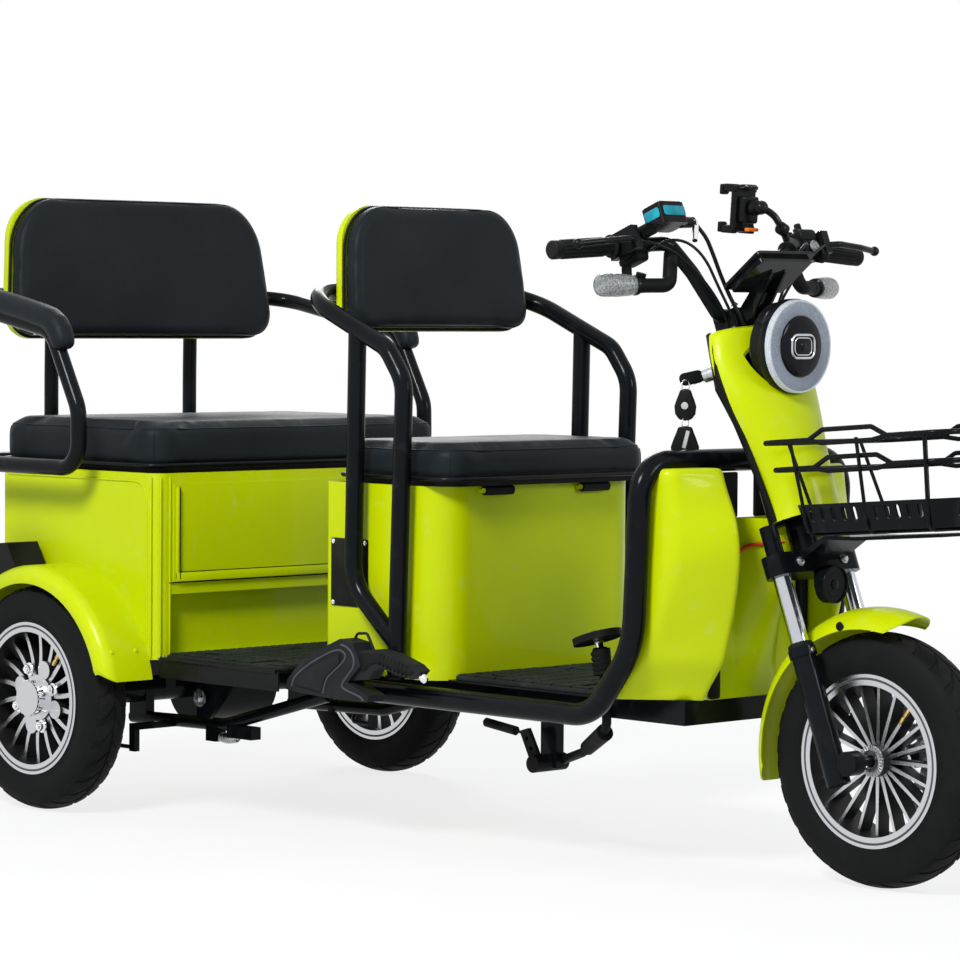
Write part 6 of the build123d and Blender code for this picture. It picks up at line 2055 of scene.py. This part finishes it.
    def signals(self) -> None:
        """Prismatic lenses over the outer ends of the turn signals."""
        self.paint("black_moulding", "turn_signals")
        for side, label in ((-1, "right"), (1, "left")):
            start = steer(-0.0125, side * 0.2240, 0.8245)
            end = steer(-0.0318, side * 0.2868, 0.8322)
            direction = (end - start).normalized()
            length = (end - start).length
            shell = lathe([
                (0.0120, 0.0), (0.0158, 0.0020), (0.0176, length * 0.20), (0.0190, length * 0.50),
                (0.0194, length * 0.86), (0.0188, length * 0.96), (0.0168, length * 1.03),
                (0.0132, length * 1.075),
                (0.0080, length * 1.10), (0.0030, length * 1.108), (0.0, length * 1.109),
            ], 48)
            turn = aimed(direction)
            place(shell, Matrix.Translation(start), turn)
            self.add(shell, f"signal_lens_{label}", Body.STEERING, Slot.LAMP, "clear_prisms", 60)
            band = lathe([(0.0130, -0.005), (0.0160, -0.004), (0.0168, 0.0), (0.0166, 0.003), (0.0140, 0.004),
                          (0.0130, -0.005)], 40, ring=True)
            place(band, Matrix.Translation(start), turn)
            self.add(band, f"signal_band_{label}", Body.STEERING, Slot.PLASTIC, "satin_moulding", 60)

    def phone(self) -> None:
        """The phone holder: ribbed plate, four jaws, ball joint, jointed arm and orange release."""
        base = Matrix.Translation(steer(-0.010, 0.100, 0.965)) @ spun(4, "Y")
        body = place(slab(round_rectangle(0.076, 0.052, 0.006, 4), 0.012, 0.003, 3), at(-0.003, 0, 0),
            spun(-90, "Y"))
        rear = place(slab(round_rectangle(0.046, 0.038, 0.005, 4), 0.014, 0.003, 3), at(0.011, 0, 0),
            spun(-90, "Y"))
        ribs = copies(brick((0.0030, 0.046, 0.0032), 0.001, 1),
            [at(-0.0158, 0, z * 0.0090) for z in range(-3, 4)])
        jaw = merged([
            place(brick((0.030, 0.013, 0.014), 0.003, 3), at(-0.018, 0, 0)),
            place(brick((0.008, 0.017, 0.018), 0.0025, 3), at(-0.034, 0, -0.003)),
            place(brick((0.004, 0.013, 0.010), 0.001, 1), at(-0.0295, 0, -0.005)),
        ])
        jaws = copies(jaw, [
            at(0, y, z) @ Matrix.Scale(1 if z > 0 else -1, 4, (0, 0, 1)) for y in (-0.022,
                0.022) for z in (-0.034, 0.036)
        ])
        clip = place(brick((0.016, 0.020, 0.007), 0.002, 2), at(0.004, 0.004, 0.0375))
        place_head = merged([body, rear, ribs, jaws, clip])
        place(place_head, base)
        ball = place(lathe([(0.0, -0.0125), (0.0070, -0.0104), (0.0110, -0.0058), (0.0125, 0.0),
            (0.0110, 0.0058),
                            (0.0070, 0.0104), (0.0, 0.0125)], 28),
                            Matrix.Translation(steer(0.022, 0.100, 0.956)))
        collar = lathe([(0.0115, 0), (0.0135, 0.002), (0.0135, 0.010), (0.0105, 0.013)], 28)
        start = steer(0.004, 0.100, 0.963)
        aim = (Vector(steer(0.022, 0.100, 0.956)) - start).normalized()
        turn = aimed(aim)
        place(collar, Matrix.Translation(start), turn)
        arm = rod([steer(*spot) for spot in (
            (0.022, 0.102, 0.955), (0.030, 0.116, 0.944), (0.028, 0.130, 0.920), (0.021, 0.144, 0.900),
            (0.017, 0.149, 0.886),
        )], 0.0062, 3, 3)
        knuckle = place(lathe([(0.0100, -0.008), (0.0112, -0.006), (0.0112, 0.006), (0.0100, 0.008)], 28),
                        STEERING, at(0.026, 0.134, 0.916), spun(60, "X"))
        centre, finish = steer(0.015, 0.1505, 0.884), steer(0.011, 0.163, 0.890)
        along = (finish - centre).normalized()
        wrap = aimed(along)
        clamp = place(lathe([(0.0150, -0.013), (0.0170, -0.012), (0.0170, 0.012), (0.0150, 0.013)], 36),
                      Matrix.Translation(centre), wrap)
        whole = merged([place_head, ball, collar, arm, knuckle, clamp])
        self.add(whole, "phone_holder_jointed", Body.STEERING, Slot.PLASTIC, "satin_moulding", 35,
            ["phone_holder"])
        tab = place(brick((0.010, 0.026, 0.006), 0.0016), base, at(0.014, 0, -0.033))
        self.add(tab, "phone_release", Body.STEERING, Slot.PLASTIC, "orange_moulding")

    def housing(self, size: Point, where: Point, split: float) -> bpy.types.Object:
        """One switch housing: two soft-edged shells with a shut line, and a collar at each end."""
        upper = brick((size[0], size[1], size[2] * (1 - split)), 0.0075, 4)
        place(upper, at(0, 0, size[2] * split / 2))
        lower = brick((size[0] * 0.94, size[1] * 0.96, size[2] * split), 0.0075, 4)
        place(lower, at(0, 0, -size[2] * (1 - split) / 2))
        waist = brick((size[0] * 0.90, size[1] * 0.90, size[2] * 0.5), 0.004, 2)
        place(waist, at(0, 0, size[2] * (split - 0.5)))
        collar = place(lathe([(0.0150, -size[1] / 2 - 0.006), (0.0165, -size[1] / 2 - 0.005),
                              (0.0165, size[1] / 2 + 0.005), (0.0150, size[1] / 2 + 0.006)], 32), ALONG_Y)
        return place(merged([upper, lower, waist, collar]), STEERING, at(*where))

    def switches(self) -> None:
        """Both switch housings, the hook under the right one and the choke body on the left."""
        right = self.housing((0.046, 0.034, 0.046), (-0.014, -0.208, 0.8850), 0.45)
        left = self.housing((0.046, 0.040, 0.048), (0.001, 0.205, 0.8965), 0.5)
        hook = rod([steer(*spot) for spot in (
            (-0.024, -0.214, 0.878), (-0.030, -0.216, 0.858), (-0.033, -0.216, 0.842),
            (-0.026, -0.214, 0.832),
            (-0.012, -0.212, 0.832), (-0.004, -0.211, 0.843),
        )], 0.0085, 3, 4)
        pod = place(lathe([(0.0110, 0), (0.0140, 0.002), (0.0150, 0.012), (0.0125, 0.016)], 32),
                    STEERING, at(0.014, 0.222, 0.876), spun(-90, "X"))
        post = place(lathe([(0.0062, 0), (0.0062, 0.015), (0.0050, 0.018)], 24), STEERING,
            at(0.002, 0.205, 0.918))
        whole = merged([right, left, hook, pod, post])
        self.add(whole, "switch_housings", Body.STEERING, Slot.PLASTIC, "black_moulding", 35, ["switch_gear"])

    def build(self) -> None:
        """Dresses the bar's fittings and adds their details."""
        self.paint("black_enamel", "handlebar")
        self.paint("satin_moulding", "brake_levers", "brake_reservoir", "head_shell_back")
        self.switches()
        self.grips()
        self.tank()
        self.buttons()
        self.clamp()
        self.display()
        self.signals()
        self.phone()


class Run(Enum):
    """Routes of the control cables about the steering axis, and their radius, in metres."""

    HOSE = (0.0035, (
        (0.046, -0.109, 0.914), (0.048, -0.092, 0.894), (0.040, -0.076, 0.862), (0.030, -0.060, 0.828),
        (0.024, -0.044, 0.788), (0.024, -0.029, 0.752), (0.017, -0.022, 0.722), (0.014, -0.020, 0.696),
    ))
    LEVER = (0.0025, (
        (0.030, 0.228, 0.886), (0.038, 0.204, 0.878), (0.042, 0.178, 0.866), (0.040, 0.150, 0.848),
        (0.036, 0.118, 0.824), (0.028, 0.084, 0.790), (0.014, 0.056, 0.756), (0.000, 0.034, 0.724),
        (-0.004, 0.026, 0.694),
    ))
    SWITCH = (0.0025, (
        (0.010, 0.196, 0.876), (0.028, 0.184, 0.884), (0.046, 0.164, 0.884), (0.054, 0.138, 0.872),
        (0.050, 0.108, 0.846), (0.038, 0.084, 0.808), (0.028, 0.060, 0.770), (0.020, 0.042, 0.738),
        (0.014, 0.032, 0.706),
    ))


@dataclass
class Cables(Assembly):
    """The hose and the four cables between the controls and the head shell."""

    def cable(self, run: Run, side: int, label: str) -> None:
        """One cable, along its route's points."""
        radius, points = run.value
        deselect()
        bpy.ops.curve.primitive_nurbs_path_add()
        piece = bpy.context.object
        curve = piece.data
        curve.splines.clear()
        spline = curve.splines.new("NURBS")
        spline.points.add(len(points) - 1)
        places = [steer(x, side * y, z) for x, y, z in points]
        for target, point in zip(spline.points, places):
            target.co = (*point, 1.0)
        spline.order_u = 3
        spline.use_endpoint_u = True
        spline.resolution_u = 12
        curve.dimensions = "3D"
        curve.bevel_depth = radius
        curve.bevel_resolution = 4
        curve.use_fill_caps = True
        piece.name = f"{run.name.lower()}_cable_{label}"
        curve.materials.append(self.finishes["satin_moulding"])
        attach(piece, Body.STEERING.value)
        length = sum((b - a).length for a, b in zip(places, places[1:]))
        tuple(places[0])
        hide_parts("control_cables")
        LOG.info("%s: %.0f mm on %s", piece.name, length * 1000, Body.STEERING.value)

    def build(self) -> None:
        """Builds every cable."""
        self.cable(Run.HOSE, 1, "right")
        for side, label in ((-1, "right"), (1, "left")):
            self.cable(Run.LEVER, side, label)
            self.cable(Run.SWITCH, side, label)


@dataclass
class Basket(Assembly):
    """The front basket's wires, tray and bracket, with its bolts."""

    def build(self) -> None:
        """Dresses the basket and adds its joints."""
        self.paint("black_enamel", "basket_tray", "basket_wires", "basket_bracket")
        head = merged([bolt(0.0060, 0.0045, 0.0085)])
        bolts = copies(head, [BASKET @ at(x, y, 0.0045) for x in (-0.130, -0.095) for y in (-0.045, 0.045)])
        self.add(bolts, "basket_bolts", Body.STEERING, Slot.STEEL, "zinc_plate")


# ---------------------------------------------------------------- stage
@dataclass
class Studio:
    """Pale floor, soft lamps and the camera."""

    camera_at: Point = (4.695, -4.623, 0.923)
    azimuth: float = 45.876
    elevation: float = 2.532
    roll: float = 0.399
    lens: float = 138.86
    sensor: float = 36.0
    shift_up: float = -0.0019
    floor_size: float = 60.0
    lamps: Sequence[tuple[str, Point, Point, float, float]] = (
        ("key", (1.2, -3.6, 3.6), (0.0, 0.0, 0.5), 1.3, 235.0),
        ("fill", (4.8, 1.4, 2.4), (0.2, 0.0, 0.5), 1.4, 60.0),
        ("back", (-3.2, 2.4, 3.0), (-0.2, 0.0, 0.5), 2.0, 80.0),
    )

    def floor(self) -> None:
        """A large white floor that still takes the object's shadow."""
        deselect()
        bpy.ops.mesh.primitive_plane_add(size=self.floor_size)
        plane = bpy.context.object
        plane.name = "studio_floor"
        net = Net("studio_floor_white")
        path = net.node("ShaderNodeLightPath", output="Is Camera Ray")
        outputs = path.socket.node.outputs
        seen = net.math("MAXIMUM", path, Value(net, outputs["Is Glossy Ray"]))
        seen = net.math("MAXIMUM", seen, Value(net, outputs["Is Transmission Ray"]))
        grain = net.noise(net.point(), 3.0, 3.0)
        base = net.ramp(grain, (0.3, (0.78, 0.78, 0.78)), (0.7, (0.82, 0.82, 0.82)))
        cloth = net.node("ShaderNodeBsdfPrincipled", sockets={
            "Base Color": base, "Roughness": 0.9, "Specular IOR Level": 0.1,
        })
        white = net.node("ShaderNodeEmission", sockets={"Color": (1, 1, 1), "Strength": 1.0})
        x, y, _ = net.parts(net.point())
        far = net.band(net.math("SQRT", x * x + y * y), 1.6, 5.0, (0.80, 1.0))
        shader = net.node("ShaderNodeMixShader", sockets={0: seen * far, 1: cloth, 2: white})
        plane.data.materials.append(net.end(shader))

    def world(self) -> None:
        """White where it is seen or mirrored, and a plain soft light elsewhere."""
        scene = bpy.context.scene
        world = bpy.data.worlds.new("studio_world")
        world.use_nodes = True
        scene.world = world
        tree = world.node_tree
        tree.nodes.clear()
        path = tree.nodes.new("ShaderNodeLightPath")
        first = tree.nodes.new("ShaderNodeMath")
        second = tree.nodes.new("ShaderNodeMath")
        first.operation = second.operation = "MAXIMUM"
        tree.links.new(path.outputs["Is Camera Ray"], first.inputs[0])
        tree.links.new(path.outputs["Is Transmission Ray"], first.inputs[1])
        tree.links.new(first.outputs[0], second.inputs[0])
        tree.links.new(path.outputs["Is Glossy Ray"], second.inputs[1])
        soft = tree.nodes.new("ShaderNodeBackground")
        soft.inputs["Color"].default_value = (0.88, 1.0, 1.0, 1.0)
        soft.inputs["Strength"].default_value = 0.36
        white = tree.nodes.new("ShaderNodeBackground")
        white.inputs["Color"].default_value = (1.0, 1.0, 1.0, 1.0)
        white.inputs["Strength"].default_value = 1.0
        mix = tree.nodes.new("ShaderNodeMixShader")
        output = tree.nodes.new("ShaderNodeOutputWorld")
        tree.links.new(second.outputs[0], mix.inputs[0])
        tree.links.new(soft.outputs[0], mix.inputs[1])
        tree.links.new(white.outputs[0], mix.inputs[2])
        tree.links.new(mix.outputs[0], output.inputs[0])

    def lamp(self, name: str, where: Point, target: Point, size: float, watts: float) -> None:
        """One large soft lamp, aimed at a point."""
        light = bpy.data.lights.new(name, "AREA")
        light.shape = "DISK"
        light.size = size
        light.energy = watts
        lamp = bpy.data.objects.new(name, light)
        bpy.context.scene.collection.objects.link(lamp)
        aim = (Vector(target) - Vector(where)).to_track_quat("-Z", "Y")
        lamp.matrix_world = Matrix.Translation(where) @ aim.to_matrix().to_4x4()

    def camera(self) -> None:
        """The camera at the object's front right."""
        data = bpy.data.cameras.new("camera")
        data.lens = self.lens
        data.sensor_width = self.sensor
        data.shift_y = self.shift_up
        camera = bpy.data.objects.new("camera", data)
        bpy.context.scene.collection.objects.link(camera)
        a, e, roll = (math.radians(v) for v in (self.azimuth, self.elevation, self.roll))
        back = Vector((math.sin(a) * math.cos(e), -math.cos(a) * math.cos(e), math.sin(e)))
        right = (-back).cross(Vector((0, 0, 1))).normalized()
        up = right.cross(-back)
        turned = right * math.cos(roll) + up * math.sin(roll)
        above = up * math.cos(roll) - right * math.sin(roll)
        basis = Matrix((turned, above, back)).transposed().to_4x4()
        camera.matrix_world = Matrix.Translation(self.camera_at) @ basis
        bpy.context.scene.camera = camera

    def build(self) -> None:
        """Sets the whole studio."""
        scene = bpy.context.scene
        scene.view_settings.view_transform = "Standard"
        self.floor()
        self.world()
        for name, where, target, size, watts in self.lamps:
            self.lamp(name, where, target, size, watts)
        self.camera()


def main() -> None:
    """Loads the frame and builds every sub-assembly."""
    logging.basicConfig(level=logging.INFO, format="%(message)s")
    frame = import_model()
    finishes = Finishes()
    assemblies: Sequence[Assembly] = (
        FrontWheel(frame, finishes),
        RearWheel(frame, finishes, "rear", Body.REAR_RIGHT, (REAR_X, -REAR_TRACK / 2, AXLE_Z), side="_right"),
        RearWheel(frame, finishes, "rear", Body.REAR_LEFT, (REAR_X, REAR_TRACK / 2, AXLE_Z), outside=1,
                  side="_left"),
        Seats(frame, finishes),
        Backrests(frame, finishes),
        Armrests(frame, finishes),
        Boxes(frame, finishes),
        Fenders(frame, finishes),
        Floors(frame, finishes),
        Shield(frame, finishes),
        Undercarriage(frame, finishes),
        Fork(frame, finishes),
        HeadShell(frame, finishes),
        Headlight(frame, finishes),
        Controls(frame, finishes),
        Cables(frame, finishes),
        Basket(frame, finishes),
    )
    for assembly in assemblies:
        assembly.build()
        LOG.info("built %s", type(assembly).__name__)
    Studio().build()


if __name__ == "__main__":
    main()
